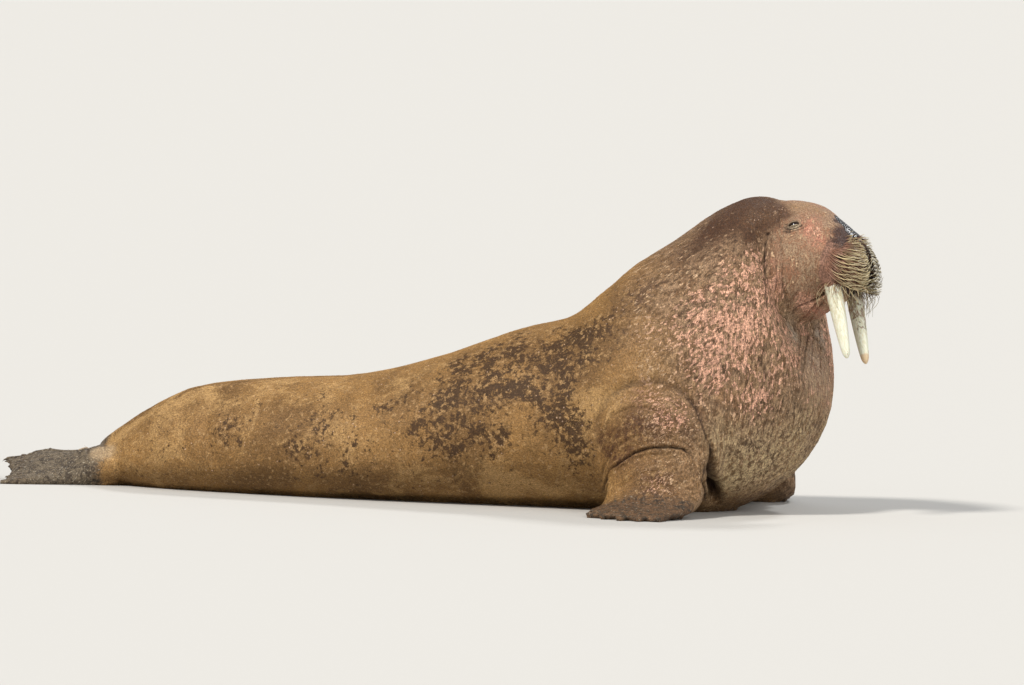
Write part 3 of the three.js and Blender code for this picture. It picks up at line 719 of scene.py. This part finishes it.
# the face: grey olive and rose, with upright threads
cheek = layered((0.15, 0.072, 0.038), (face_threads, (0.38, 0.6), (0.54, 0.37, 0.235)),
                (mixed, (0.4, 0.64, 0.0, 0.65), (0.29, 0.13, 0.072)))
colour = layered(colour, (face, (0.1, 0.9, 0.0, 0.88), cheek))
for name, broken_by, limits, paint in (("rosy_and_painted_light", spotted, (0.36, 0.58, 0.25, 0.95), (0.5, 0.225, 0.15)),
                                       ("ridge", spotted, (0.3, 0.6, 0.4, 0.95), (0.33, 0.195, 0.098)),
                                       ("nape", patchy, (0.2, 0.6, 0.7, 1.0), (0.07, 0.029, 0.011))):
    masks[name] = times(share_of(name), ramp(broken_by, *limits))
    colour = over(masks[name], colour, paint)
lid = weighed(spotted, 0.5, share_of("lid"))
colour = layered(colour, (lid, (0.75, 1.25, 0.0, 0.7), (0.42, 0.36, 0.25)))

# pink bosses, scars and pale specks
pink = share_of("pink")
slim = over(chesty, streaks(where, (0, 0.85, 0), (0.0125, 0.0125, 0.022), 3, 0.55),
            streaks(where, (0, 0.05, 0), (0.0125, 0.0125, 0.026), 3, 0.55))
boss = weighed(pink, 0.16, weighed(mixed, 0.28, slim))
bosses = ramp(boss, 0.748, 0.79, 0.0, 0.97)
shown = weighed(masks["nape"], -0.7, ramp(front, 0.05, 0.6, 0.0, 1.0))
bosses = times(bosses, ramp(shown, 0.0, 1.0))
pinkish = over(ramp(pink, 0.05, 0.45), (0.56, 0.385, 0.235), (0.69, 0.385, 0.268))
colour = over(times(bosses, ramp(fine, 0.3, 0.7, 0.6, 1.0)), colour, pinkish)
small = over(chesty, streaks(where, (0, 0.8, 0), (0.006, 0.006, 0.013), 3, 0.6),
             streaks(where, (0, 0.04, 0), (0.0055, 0.0055, 0.015), 3, 0.6))
fleck = weighed(pink, 0.17, weighed(mixed, 0.16, small))
flecked = share_of("flecked")
fleck = weighed(flecked, 0.1, fleck)
flecks = times(ramp(fleck, 0.765, 0.805), ramp(larger(shown, flecked), 0.0, 1.0, 0.25, 1.0))
colour = over(times(flecks, 0.85), colour, pinkish)
specks = put("TexVoronoi", {"Vector": where, "Scale": 80.0, "Randomness": 1.0}, feature="F1")
lone = ramp(put("SeparateColor", {0: specks.outputs["Color"]}).outputs[0], 0.86, 0.88)
speck = times(lone, ramp(specks.outputs["Distance"], 0.3, 0.14, 0.0, 0.75))
colour = over(times(speck, ramp(mixed, 0.45, 0.6)), colour, (0.62, 0.42, 0.29))

# flippers, heel, pads with painted shade under the whiskers, nose, painted shade in the creases, and the
# finest grain
paddles = over(share_of("hind"), (0.15, 0.082, 0.042), (0.135, 0.108, 0.074))
paddles = layered(paddles, (spotted, (0.44, 0.58), (0.04, 0.031, 0.023)),
                  (small, (0.6, 0.68), (0.36, 0.32, 0.25)))
bare = weighed(spotted, 0.8, larger(share_of("fore"), share_of("hind")))
heel = weighed(spotted, 0.5, share_of("heel"))
pad = weighed(spotted, 0.8, share_of("pad"))
# the pad's skin: reddish at the whisker roots, and near black in front as painted shade under the whiskers
pad_skin_and_shade = layered((0.255, 0.135, 0.092), (ahead, (1.235, 1.285), (0.026, 0.015, 0.01)))
dusk = weighed(mixed, 0.9, weighed(spotted, 1.7, share_of("dusky")))
colour = layered(colour, (bare, (0.62, 1.1, 0.0, 0.93), paddles),
                 (heel, (0.55, 1.1, 0.0, 0.85), (0.4, 0.29, 0.175)),
                 (pad, (0.75, 1.3), pad_skin_and_shade),
                 (dusk, (1.68, 2.22, 0.0, 0.95), (0.058, 0.029, 0.022)))
nosed = ramp(weighed(mixed, 0.7, weighed(spotted, 1.1, share_of("nose"))), 1.34, 1.66)
colour = over(nosed, colour, (0.013, 0.011, 0.011))
thread = ramp(over(face, threads, face_threads), 0.6, 0.44, 0.66, 1.12)
colour = over(front, colour, over(1.0, colour, grey(thread), "MULTIPLY"))
grains = layered((0.62, 0.61, 0.6), (fine, (0.3, 0.7), (1.38, 1.37, 1.34)))
colour = over(1.0, colour, grains, "MULTIPLY")
# painted shade: the hide darkened in its creases and furrows, the armpits, the eye slits and the ear holes
colour = layered(colour, (share_of("crease"), (0.08, 1.0, 0.0, 0.88), (0.035, 0.016, 0.009)))

wrinkles = streaks(where, (0.1, 0.35, 0.2), (0.007, 0.011, 0.03), 4, 0.6, 0.6)
pebbles = put("TexVoronoi", {"Vector": where, "Scale": 120.0, "Smoothness": 0.7}, feature="SMOOTH_F1")
relief = weighed(bosses, 0.45, times(wrinkles, ramp(masks["olive"], 0, 0.8, 0.8, 0.35)))
relief = weighed(flecks, 0.25, weighed(thread, 0.9, relief))
relief = weighed(pebbles.outputs["Distance"], -0.35, weighed(fine, 0.25, relief))
height = times(relief, ramp(nosed, 0, 1, 1.0, 0.35))
gloss = ramp(nosed, 0.3, 0.9, 0.64, 0.16)
plug(tree.nodes.new("NodeGroupOutput"), {"Color": colour, "Height": height, "Roughness": gloss})


def finish(name, **values):
    """A material whose main shader has plain values, with its tree and shader to add to."""
    made = bpy.data.materials.new(name)
    made.use_nodes = True
    shader = made.node_tree.nodes["Principled BSDF"]
    for socket, value in values.items():
        shader.inputs[socket.replace("_", " ")].default_value = value
    return made, made.node_tree, shader


def marked(shader):
    """Joins the hide's colours and gloss to a shader, and gives the group's outputs to use."""
    marks = put("Group", node_tree=bpy.data.node_groups["hide_markings"]).outputs
    plug(shader, {"Base Color": marks["Color"], "Roughness": marks["Roughness"]})
    return marks


def embossed(shader, height, strength, distance):
    bump = put("Bump", {"Height": height, "Strength": strength, "Distance": distance})
    plug(shader, {"Normal": bump.outputs[0]})


skin_finish, tree, shader = finish("skin_finish", Specular_IOR_Level=0.35)
embossed(shader, marked(shader)["Height"], 1.0, 0.0031)
hide_mesh.materials.append(skin_finish)
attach(hide, "root")
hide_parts(*[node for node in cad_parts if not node.startswith(("tusk", "eye"))])

# The eyes: dark, wet balls, set deep behind the slit of the lids.
ball = bmesh.new()
for name in sides:
    bmesh.ops.create_uvsphere(ball, u_segments=40, v_segments=24, radius=0.0186,
                              matrix=Matrix.Translation(eye_at[name] + eye_frames[name][3] * 0.001))
eyes_mesh = mesh_of("eyes", ball)
eyes_mesh.shade_smooth()
eyes = object_of(eyes_mesh)
eye_finish, tree, shader = finish("eye_finish", Roughness=0.16, Coat_Weight=0.3, Coat_Roughness=0.06)
where = put("TexCoord").outputs["Object"]
iris = layered((0.01, 0.007, 0.006), (grain(where, 60, 3), (0.35, 0.65), (0.03, 0.018, 0.012)))
plug(shader, {"Base Color": iris})
eyes_mesh.materials.append(eye_finish)
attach(eyes, "root")
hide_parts("eye_right", "eye_left")

# The tusks: ivory canines 270 mm out of the gum, oval in section and worn blunt, cream with fine cracks along
# them, brown stains near the gum of the left one, a worn brown spot on each and a tan tip.
tusk_length = 0.27
ivory_finish, tree, shader = finish("ivory_finish", Roughness=0.34, Specular_IOR_Level=0.5,
                                    Subsurface_Weight=0.06)
where = put("TexCoord").outputs["Object"]
cracks = streaks(where, (0, -0.33, 0.28), (0.0042, 0.0042, 0.11), 4, 0.6, 0.3)
blotches = streaks(where, (0, -0.33, 0.28), (0.014, 0.014, 0.04), 5, 0.66, 1.2)
tarnish = weighed(share_of("stain"), 0.17, blotches)
worn = weighed(blotches, 2.6, share_of("worn"))
worn_tip = weighed(blotches, 0.4, share_of("tip"))
colour = layered((0.56, 0.52, 0.34), (cracks, (0.4, 0.58), (0.72, 0.72, 0.6)),
                 (share_of("down"), (0.0, 0.9, 0.05, 0.5), (0.76, 0.77, 0.63)),
                 (tarnish, (0.61, 0.68, 0.0, 0.85), (0.2, 0.11, 0.06)),
                 (worn, (2.02, 2.26, 0.0, 0.7), (0.2, 0.13, 0.08)),
                 (worn_tip, (0.5, 0.95, 0.0, 0.75), (0.6, 0.41, 0.22)))
plug(shader, {"Base Color": colour})
embossed(shader, cracks, 0.35, 0.0012)
for name, side in sides.items():
    shape = bmesh.new()
    shape.from_mesh(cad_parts[f"tusk_{name}"].data)
    bmesh.ops.remove_doubles(shape, verts=shape.verts, dist=same_corner)
    bmesh.ops.subdivide_edges(shape, edges=shape.edges, cuts=2, use_grid_fill=True)
    relax(shape, 8)
    tusk_mesh = mesh_of(f"ivory_{name}", shape)
    tusk_mesh.shade_smooth()
    places, outward = read(tusk_mesh)
    root = np.array(on_head(tusk_socket.x, side * tusk_socket.y, tusk_socket.z))
    drop = (places - root) @ np.array(head_pose.to_3x3() @ tusk_axis) / tusk_length
    is_left = side > 0
    shares = {
        "down": np.clip(drop, 0, 1),
        "tip": eased(drop, 0.78, 0.9) * (1.0 if is_left else 0.2),
        "stain": 1 - eased(drop, 0.2, 0.65) if is_left else 0.35 * (1 - eased(drop, 0.0, 0.15)),
        "worn": mound((drop - (0.45 if is_left else 0.72)) / 0.1) * (0.8 if is_left else 0.45),
    }
    carry(tusk_mesh, shares)
    tusk_mesh.materials.append(ivory_finish)
    tusk = object_of(tusk_mesh)
    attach(tusk, "root")
    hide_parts(f"tusk_{name}")


# The whiskers: some 600 stout bristles of horn in even rows over both pads. Each grows out of reddish skin,
# lies forward over its pad, and the lowest curve up at the tip. Thin ones hang from the pads' lower edge, and
# short hairs stand beside the nose.
def rods(name, lines, thickness, material, taper, corners=5):
    """Tapered rods along given lines: lines is (count, rings, 3), thickness the radius at each root."""
    count, rings = lines.shape[:2]
    run = np.gradient(lines, axis=1)
    run /= np.linalg.norm(run, axis=2, keepdims=True)
    side = np.cross(run, (0.0, 0.0, 1.0))
    side /= np.linalg.norm(side, axis=2, keepdims=True) + 1e-9
    above = np.cross(side, run)
    thin = np.interp(np.linspace(0, 1, rings), np.linspace(0, 1, len(taper)), taper)
    turn = np.linspace(0, 2 * math.pi, corners, endpoint=False)
    ring = side[:, :, None] * np.cos(turn)[:, None] + above[:, :, None] * np.sin(turn)[:, None]
    points = lines[:, :, None] + ring * (thickness[:, None, None, None] * thin[None, :, None, None])
    grid = np.arange(count * rings * corners).reshape(count, rings, corners)
    a, b = grid[:, :-1], grid[:, 1:]
    quads = np.stack([a, np.roll(a, -1, 2), np.roll(b, -1, 2), b], axis=3).reshape(-1, 4)
    ends = [*grid[:, 0, ::-1].tolist(), *grid[:, -1].tolist()]
    mesh = bpy.data.meshes.new(name)
    mesh.from_pydata(points.reshape(-1, 3).tolist(), [], quads.tolist() + ends)
    mesh.shade_smooth()
    along = np.repeat(np.tile(np.linspace(0, 1, rings), count), corners)
    tone = np.repeat(np.random.default_rng(5).random(count), rings * corners)
    carry(mesh, {"along": along, "tone": tone})
    mesh.materials.append(material)
    made = object_of(mesh)
    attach(made, "root")
    return made


whisker_colours = {  # horn from dull to bright, reddish at the root and paler at the tip
    "right": ((0.16, 0.105, 0.05), (0.66, 0.53, 0.29), (0.27, 0.13, 0.08), (0.72, 0.63, 0.4)),
    # the far pad's horn as painted shade: darker and greyer, with its tips paled as painted backlight
    "left": ((0.13, 0.092, 0.05), (0.52, 0.44, 0.25), (0.17, 0.09, 0.058), (0.76, 0.74, 0.66)),
}
whisker_finishes = {}
for name, (dull, bright, root, tip) in whisker_colours.items():
    whisker_finishes[name], tree, shader = finish(f"whisker_horn_{name}", Roughness=0.42)
    colour = layered(dull, (share_of("tone"), (0, 1), bright), (share_of("along"), (0.66, 0.24), root),
                     (share_of("along"), (0.7, 1.0, 0.0, 0.7), tip))
    plug(shader, {"Base Color": colour})
whisker_rows, whiskers_in_row = 15, 18
whisker_levels, whisker_rounds = (-0.9, 0.86), (-0.85, 1.85)
whisker_reach = {"right": (0.045, 0.022, 0.018, 0.022), "left": (0.085, 0.031, 0.004, 0.0)}
whisker_radius, whisker_sweep = 0.0016, 1.05
hanging_count, hanging_radius = 44, 0.001
nose_hair_count, nose_hair_radius = 46, 0.0011
chance = np.random.default_rng(41)
for name, side in sides.items():
    lines, thickness = [], []
    for row in range(whisker_rows):
        row_level = np.interp(row, (0, whisker_rows - 1), whisker_levels)
        for k in range(whiskers_in_row):
            share = (k + 0.5 * (row % 2) + 0.22 * chance.normal()) / whiskers_in_row
            back = np.interp(share, (0, 1), whisker_rounds) - 0.75 * eased(row_level, -0.1, 0.86) * share
            level = row_level + 0.022 * chance.normal()
            sweep = whisker_sweep * np.clip((back + 0.3) / 1.2, 0, 1) * (1 + 0.07 * chance.normal())
            reach = np.clip(0.6 - 0.5 * back, np.interp(level, whisker_levels, (0.45, 0.15)), 1)
            reach *= np.interp(level, (-0.9, -0.3, 0.2, 0.72), whisker_reach[name])
            reach *= 1 + 0.12 * chance.normal()
            lift = np.interp(level, (-0.9, -0.4, 0.2, 0.9), (0.26, 0.22, 0.1, 0.05))
            lift *= 1 + 0.15 * chance.normal()
            bend = []
            for t in (0.0, 0.12, 0.26, 0.4, 0.55, 0.7, 0.85, 1.0):
                angle = back - sweep * t
                droop = np.interp(level, (-0.9, 0.1, 0.72), (0.5, 0.36, -0.12)) * (1 - t) ** 2
                rise = level + droop * np.clip((back + 0.2) / 1.4, 0, 1) + 0.13 * t ** 3 * (level < 0.3)
                flat = math.cos(rise)
                out = Vector((flat * math.cos(angle), side * flat * math.sin(angle), math.sin(rise)))
                stand = (0.93 if t == 0 else 1) + lift * (1 - (1 - t) ** 2)
                here = out * pad_size * stand + Vector((reach * t, 0, 0))
                bend.append(head_pose @ (pad_middle * Vector((1, side, 1)) + here))
            lines.append(bend)
            thickness.append(whisker_radius * (1 - 0.25 * abs(level)) * (1 + 0.1 * chance.normal()))
    whiskers = rods(f"whiskers_{name}", np.array(lines), np.array(thickness), whisker_finishes[name],
                    (1, 1, 1, 0.95, 0.85, 0.45))
    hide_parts(f"muzzle_pad_{name}")

    lines, thickness = [], []
    for k in range(hanging_count):
        back = -0.35 + 2.0 * (k + 0.5 * chance.random()) / hanging_count
        out = Vector((math.cos(back) * 0.7, side * math.sin(back) * 0.7, -0.71))
        root = out * pad_size
        length = 0.04 + 0.075 * chance.random()
        drift = Vector((0.15 + 0.35 * chance.normal(), side * 0.25 * chance.normal(), -1)).normalized()
        curl = 2.2 + 1.6 * chance.random()
        bow = Vector((0.022 * chance.normal(), side * 0.012, 0.006))
        bend = []
        for t in np.linspace(0, 1, 8):
            here = root - out * 0.006 * (1 - t) + drift * length * t + bow * math.sin(curl * t)
            bend.append(head_pose @ (pad_middle * Vector((1, side, 1)) + here))
        lines.append(bend)
        thickness.append(hanging_radius)
    for k in range(nose_hair_count):
        root = seen(845 + 18 * chance.random(), 236 + 8 * chance.random())
        root = Vector(root if side < 0 else other_side(np.array([root]))[0])
        out = touch.find_nearest(root)[1]
        lean = head_ahead + Vector((0, 0, 0.25 + 0.3 * chance.normal()))
        lean += out * (0.45 + 0.15 * chance.random())
        length = 0.014 + 0.014 * chance.random()
        lines.append([root + lean.normalized() * length * t - Vector((0, 0, 0.004 * t * t))
                      for t in np.linspace(-0.1, 1, 8)])
        thickness.append(nose_hair_radius)
    rods(f"hanging_whiskers_{name}", np.array(lines), np.array(thickness), whisker_finishes[name],
         (1, 0.9, 0.5), 4)

# The nails: a small blunt claw of dark horn on each digit, set back from the edge of the flipper.
digits = [  # root and tip of each digit of the right foreflipper
    ((0.735, -0.575), (0.742, -0.842)), ((0.691, -0.583), (0.676, -0.866)),
    ((0.648, -0.591), (0.604, -0.862)), ((0.604, -0.599), (0.53, -0.826)),
    ((0.56, -0.607), (0.462, -0.768)),
]
set_back, thin_edge = 0.84, 0.01
horn = bmesh.new()


def nail(spot, line, size):
    """A claw on the hide below a spot, along a line; none where the flipper is only a thin edge."""
    hit = touch.ray_cast(spot, Vector((0, 0, -1)))[0]
    if hit and hit.z > thin_edge:
        facing = Matrix.Rotation(math.atan2(line.y, line.x), 4, "Z")
        place = Matrix.Translation(hit) @ facing @ Matrix.Diagonal((*size, 1))
        bmesh.ops.create_uvsphere(horn, u_segments=16, v_segments=10, radius=1, matrix=place)


for side in sides.values():
    for root, tip in digits:
        line = Vector((tip[0] - root[0], tip[1] - root[1], 0))
        spot = Vector((root[0], root[1], 0)) + line * set_back
        spot = Vector((spot.x + (arm_lead if side > 0 else 0), -side * spot.y, 0.1))
        line.y *= -side
        nail(spot, line, (0.012, 0.0065, 0.0045))
hind_feet = [((-1.59, -0.092), (-2.0, -0.19)), ((-1.59, 0.092), (-2.052, 0.15))]  # ankle and tip
half_spread = 0.108
for ankle, reach in hind_feet:
    line = Vector((reach[0] - ankle[0], reach[1] - ankle[1], 0))
    across = Vector((-line.y, line.x, 0)).normalized()
    for spread in (-1, -0.55, 0, 0.55, 1):
        spot = Vector((*ankle, 0.2)) + line * set_back + across * spread * half_spread
        nail(spot, line, (0.013, 0.006, 0.0045))
nails_mesh = mesh_of("nails", horn)
nails_mesh.shade_smooth()
nails = object_of(nails_mesh)
nail_finish, tree, shader = finish("nail_finish", Roughness=0.38)
where = put("TexCoord").outputs["Object"]
colour = layered((0.035, 0.024, 0.016), (grain(where, 220, 4), (0.35, 0.65), (0.13, 0.09, 0.055)))
plug(shader, {"Base Color": colour})
nails_mesh.materials.append(nail_finish)
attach(nails, "root")


# The coat: short stiff hairs in small tufts that lie back along the body, 13 mm on the trunk, thin on the
# chest and shortest on face and feet. Every tuft is a small closed spike with the hide's own markings, rooted
# in the skin.
def lie_of(places, outward):
    """The direction in which the coat lies at each place."""
    run = np.tile((-1.0, 0.0, -0.38), (len(places), 1))
    arm = (np.abs(places[:, 1]) > 0.36) & (places[:, 2] < 0.42) & (places[:, 0] > 0.36) & (places[:, 0] < 1.0)
    run[arm] = (-0.35, 0.0, -1.0)
    foot = (np.abs(places[:, 1]) > 0.52) & (places[:, 2] < 0.12)
    run[foot] = np.stack([np.full(foot.sum(), -0.15), np.sign(places[foot, 1]), np.full(foot.sum(), -0.1)], 1)
    share = turn_share(places)
    run = spun(run, share * head_turn, 0, 1)
    run -= outward * (run * outward).sum(1, keepdims=True)
    return run / (np.linalg.norm(run, axis=1, keepdims=True) + 1e-9)


def coat_piece(name, roots, outward, lies, length, width, shares, chart, seed):
    """One piece of the coat: a closed spike for each root, with the shares of the skin it grows from."""
    dice = np.random.default_rng(seed)
    count = len(roots)
    across = np.cross(outward, lies)
    swing = dice.normal(0, 0.22, count)[:, None]
    lies = lies * np.cos(swing) + across * np.sin(swing)
    across = np.cross(outward, lies)
    size = (length * dice.uniform(0.7, 1.2, count))[:, None]
    wide = (width * dice.uniform(0.7, 1.2, count))[:, None] / 2
    base = roots - outward * 0.0012
    rise = 0.13 * size * dice.uniform(0.5, 1.5, count)[:, None]
    tips = base + lies * size + outward * (rise + 0.0012)
    crest = base + outward * 0.002 + lies * size * 0.25
    points = np.stack([base + across * wide, base - across * wide, crest, tips], axis=1).reshape(-1, 3)
    points[:, 2] = np.maximum(points[:, 2], 0.0003)
    first = np.arange(count)[:, None] * 4
    faces = (np.array([[0, 3, 1], [1, 3, 2], [2, 3, 0], [0, 1, 2]])[None] + first[:, None]).reshape(-1, 3)
    p = points[faces[1]]
    if np.dot(np.cross(p[1] - p[0], p[2] - p[0]), across[0]) > 0:
        faces = faces[:, ::-1]
    mesh = bpy.data.meshes.new(name)
    mesh.vertices.add(len(points))
    mesh.vertices.foreach_set("co", points.ravel())
    mesh.loops.add(faces.size)
    mesh.loops.foreach_set("vertex_index", faces.ravel().astype(np.int32))
    mesh.polygons.add(len(faces))
    mesh.polygons.foreach_set("loop_start", np.arange(0, faces.size, 3, dtype=np.int32))
    mesh.update(calc_edges=True)
    mesh.validate()
    mesh.shade_smooth()
    shares = {**shares, "tone": dice.random(count)}
    carry(mesh, {share_name: np.repeat(share, 4) for share_name, share in shares.items()})
    patch = 0.0015 * np.array([(-1, -1), (1, -1), (0, 0), (0, 1)])
    flats = (chart[:, None] + patch[None]).reshape(-1, 2)[faces.ravel()]
    mesh.uv_layers.new(name="OFBake").data.foreach_set("uv", flats.ravel().astype(np.float32))
    soft = np.repeat(outward + 0.09 * dice.normal(0, 1, (count, 3)), 4, axis=0)
    soft /= np.linalg.norm(soft, axis=1, keepdims=True)
    mesh.normals_split_custom_set_from_vertices(soft.tolist())
    mesh.materials.append(coat_finish)
    made = object_of(mesh)
    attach(made, "root")


coat_finish, tree, shader = finish("coat_finish", Specular_IOR_Level=0.3)
outputs = marked(shader)
shade = ramp(share_of("tone"), 0, 1, 0.8, 1.26)
plug(shader, {"Base Color": over(1.0, outputs["Color"], grey(shade), "MULTIPLY")})

tuft_count, coat_pieces = 320000, 7
hide_mesh.calc_loop_triangles()
corners = np.empty(3 * len(hide_mesh.loop_triangles), np.int32)
hide_mesh.loop_triangles.foreach_get("vertices", corners)
corners = corners.reshape(-1, 3)
a, b, c = (hide_places[corners[:, k]] for k in range(3))
area = np.linalg.norm(np.cross(b - a, c - a), axis=1) / 2
middle = (a + b + c) / 3
shares = {name: share[corners].mean(1) for name, share in hide_shares.items()}
thin = (1 - 0.6 * shares["front"]) * (1 - 0.5 * shares["face"])
thin *= (1 - 0.97 * np.maximum(shares["fore"], shares["hind"])) * (1 - eased(shares["nose"], 0.1, 0.4))
thin *= (1 - eased(shares["pad"], 0.1, 0.5)) * (middle[:, 2] > sole_height)
thin *= 1 - eased(shares["crease"], 0.3, 0.7)
weight = area * thin * (1 + 2.2 * shares["face"])
dice = np.random.default_rng(11)
chosen = dice.choice(len(weight), tuft_count, p=weight / weight.sum())
u, w = dice.random((2, tuft_count))
flip = u + w > 1
u, w = np.where(flip, 1 - u, u), np.where(flip, 1 - w, w)
parts = np.stack([1 - u - w, u, w], axis=1)
roots = (hide_places[corners[chosen]] * parts[:, :, None]).sum(1)
ups = (hide_outward[corners[chosen]] * parts[:, :, None]).sum(1)
ups /= np.linalg.norm(ups, axis=1, keepdims=True)
root_shares = {name: (share[corners[chosen]] * parts).sum(1) for name, share in hide_shares.items()}
lies = lie_of(roots, ups)
here = straightened(roots)
stations = (-1.7, -1.2, -0.3, 0.3, 0.8, 1.2)
axis_height = np.interp(here[:, 0], stations, (0.1, 0.17, 0.24, 0.36, 0.62, 0.95))
around = np.arctan2(here[:, 1], here[:, 2] - axis_height) / (2 * math.pi) + 0.5
is_faced = root_shares["face"] > 0.5
length = np.where(is_faced, 0.0036, 0.013 - 0.0065 * root_shares["front"])
width = np.where(is_faced, 0.0012, 0.0026 - 0.001 * root_shares["front"])
order = np.argsort(here[:, 0] + 0.2 * here[:, 2])
for k, batch in enumerate(np.array_split(order, coat_pieces)):
    run = here[batch, 0] + 0.2 * here[batch, 2]
    chart = 0.002 + 0.996 * np.stack([(run - run.min()) / np.ptp(run), around[batch]], axis=1)
    batch_shares = {name: share[batch] for name, share in root_shares.items()}
    coat_piece(f"coat_{k + 1}", roots[batch], ups[batch], lies[batch], length[batch], width[batch],
               batch_shares, chart, 60 + k)

# The floor and the light: a plain pale floor, a soft high sun from the front left, a weak wide light from the
# right that opens the shadows, a light from behind that rims the back and the nose, and an even pale sky.
floor_shape = bmesh.new()
bmesh.ops.create_grid(floor_shape, x_segments=2, y_segments=2, size=300)
floor_mesh = mesh_of("floor", floor_shape)
floor = object_of(floor_mesh)
floor_finish, tree, shader = finish("floor_finish", Base_Color=(0.52, 0.51, 0.485, 1), Roughness=0.9)
floor_mesh.materials.append(floor_finish)
lamps = [  # name, strength, softness in degrees, colour, and where it shines from
    ("sun", 3.1, 9, (1.0, 0.96, 0.9), (-0.38, -0.85, 1.05)),
    ("side_light", 1.1, 40, (1.0, 0.985, 0.96), (0.9, -0.5, 0.5)),
    ("back_light", 1.3, 10, (1.0, 1.0, 1.0), (0.25, 0.8, 0.9)),
]
for name, strength, softness, tint, shines_from in lamps:
    lamp = bpy.data.lights.new(name, "SUN")
    lamp.energy = strength
    lamp.angle = math.radians(softness)
    lamp.color = tint
    lamp_place = bpy.data.objects.new(name, lamp)
    lamp_place.rotation_euler = Vector(shines_from).to_track_quat("Z", "Y").to_euler()
    bpy.context.scene.collection.objects.link(lamp_place)
sky = bpy.data.worlds.new("sky")
sky.use_nodes = True
sky.node_tree.nodes["Background"].inputs[0].default_value = (0.9, 0.92, 0.95, 1)
sky.node_tree.nodes["Background"].inputs[1].default_value = 0.48
bpy.context.scene.world = sky
bpy.context.scene.view_settings.view_transform = "Standard"
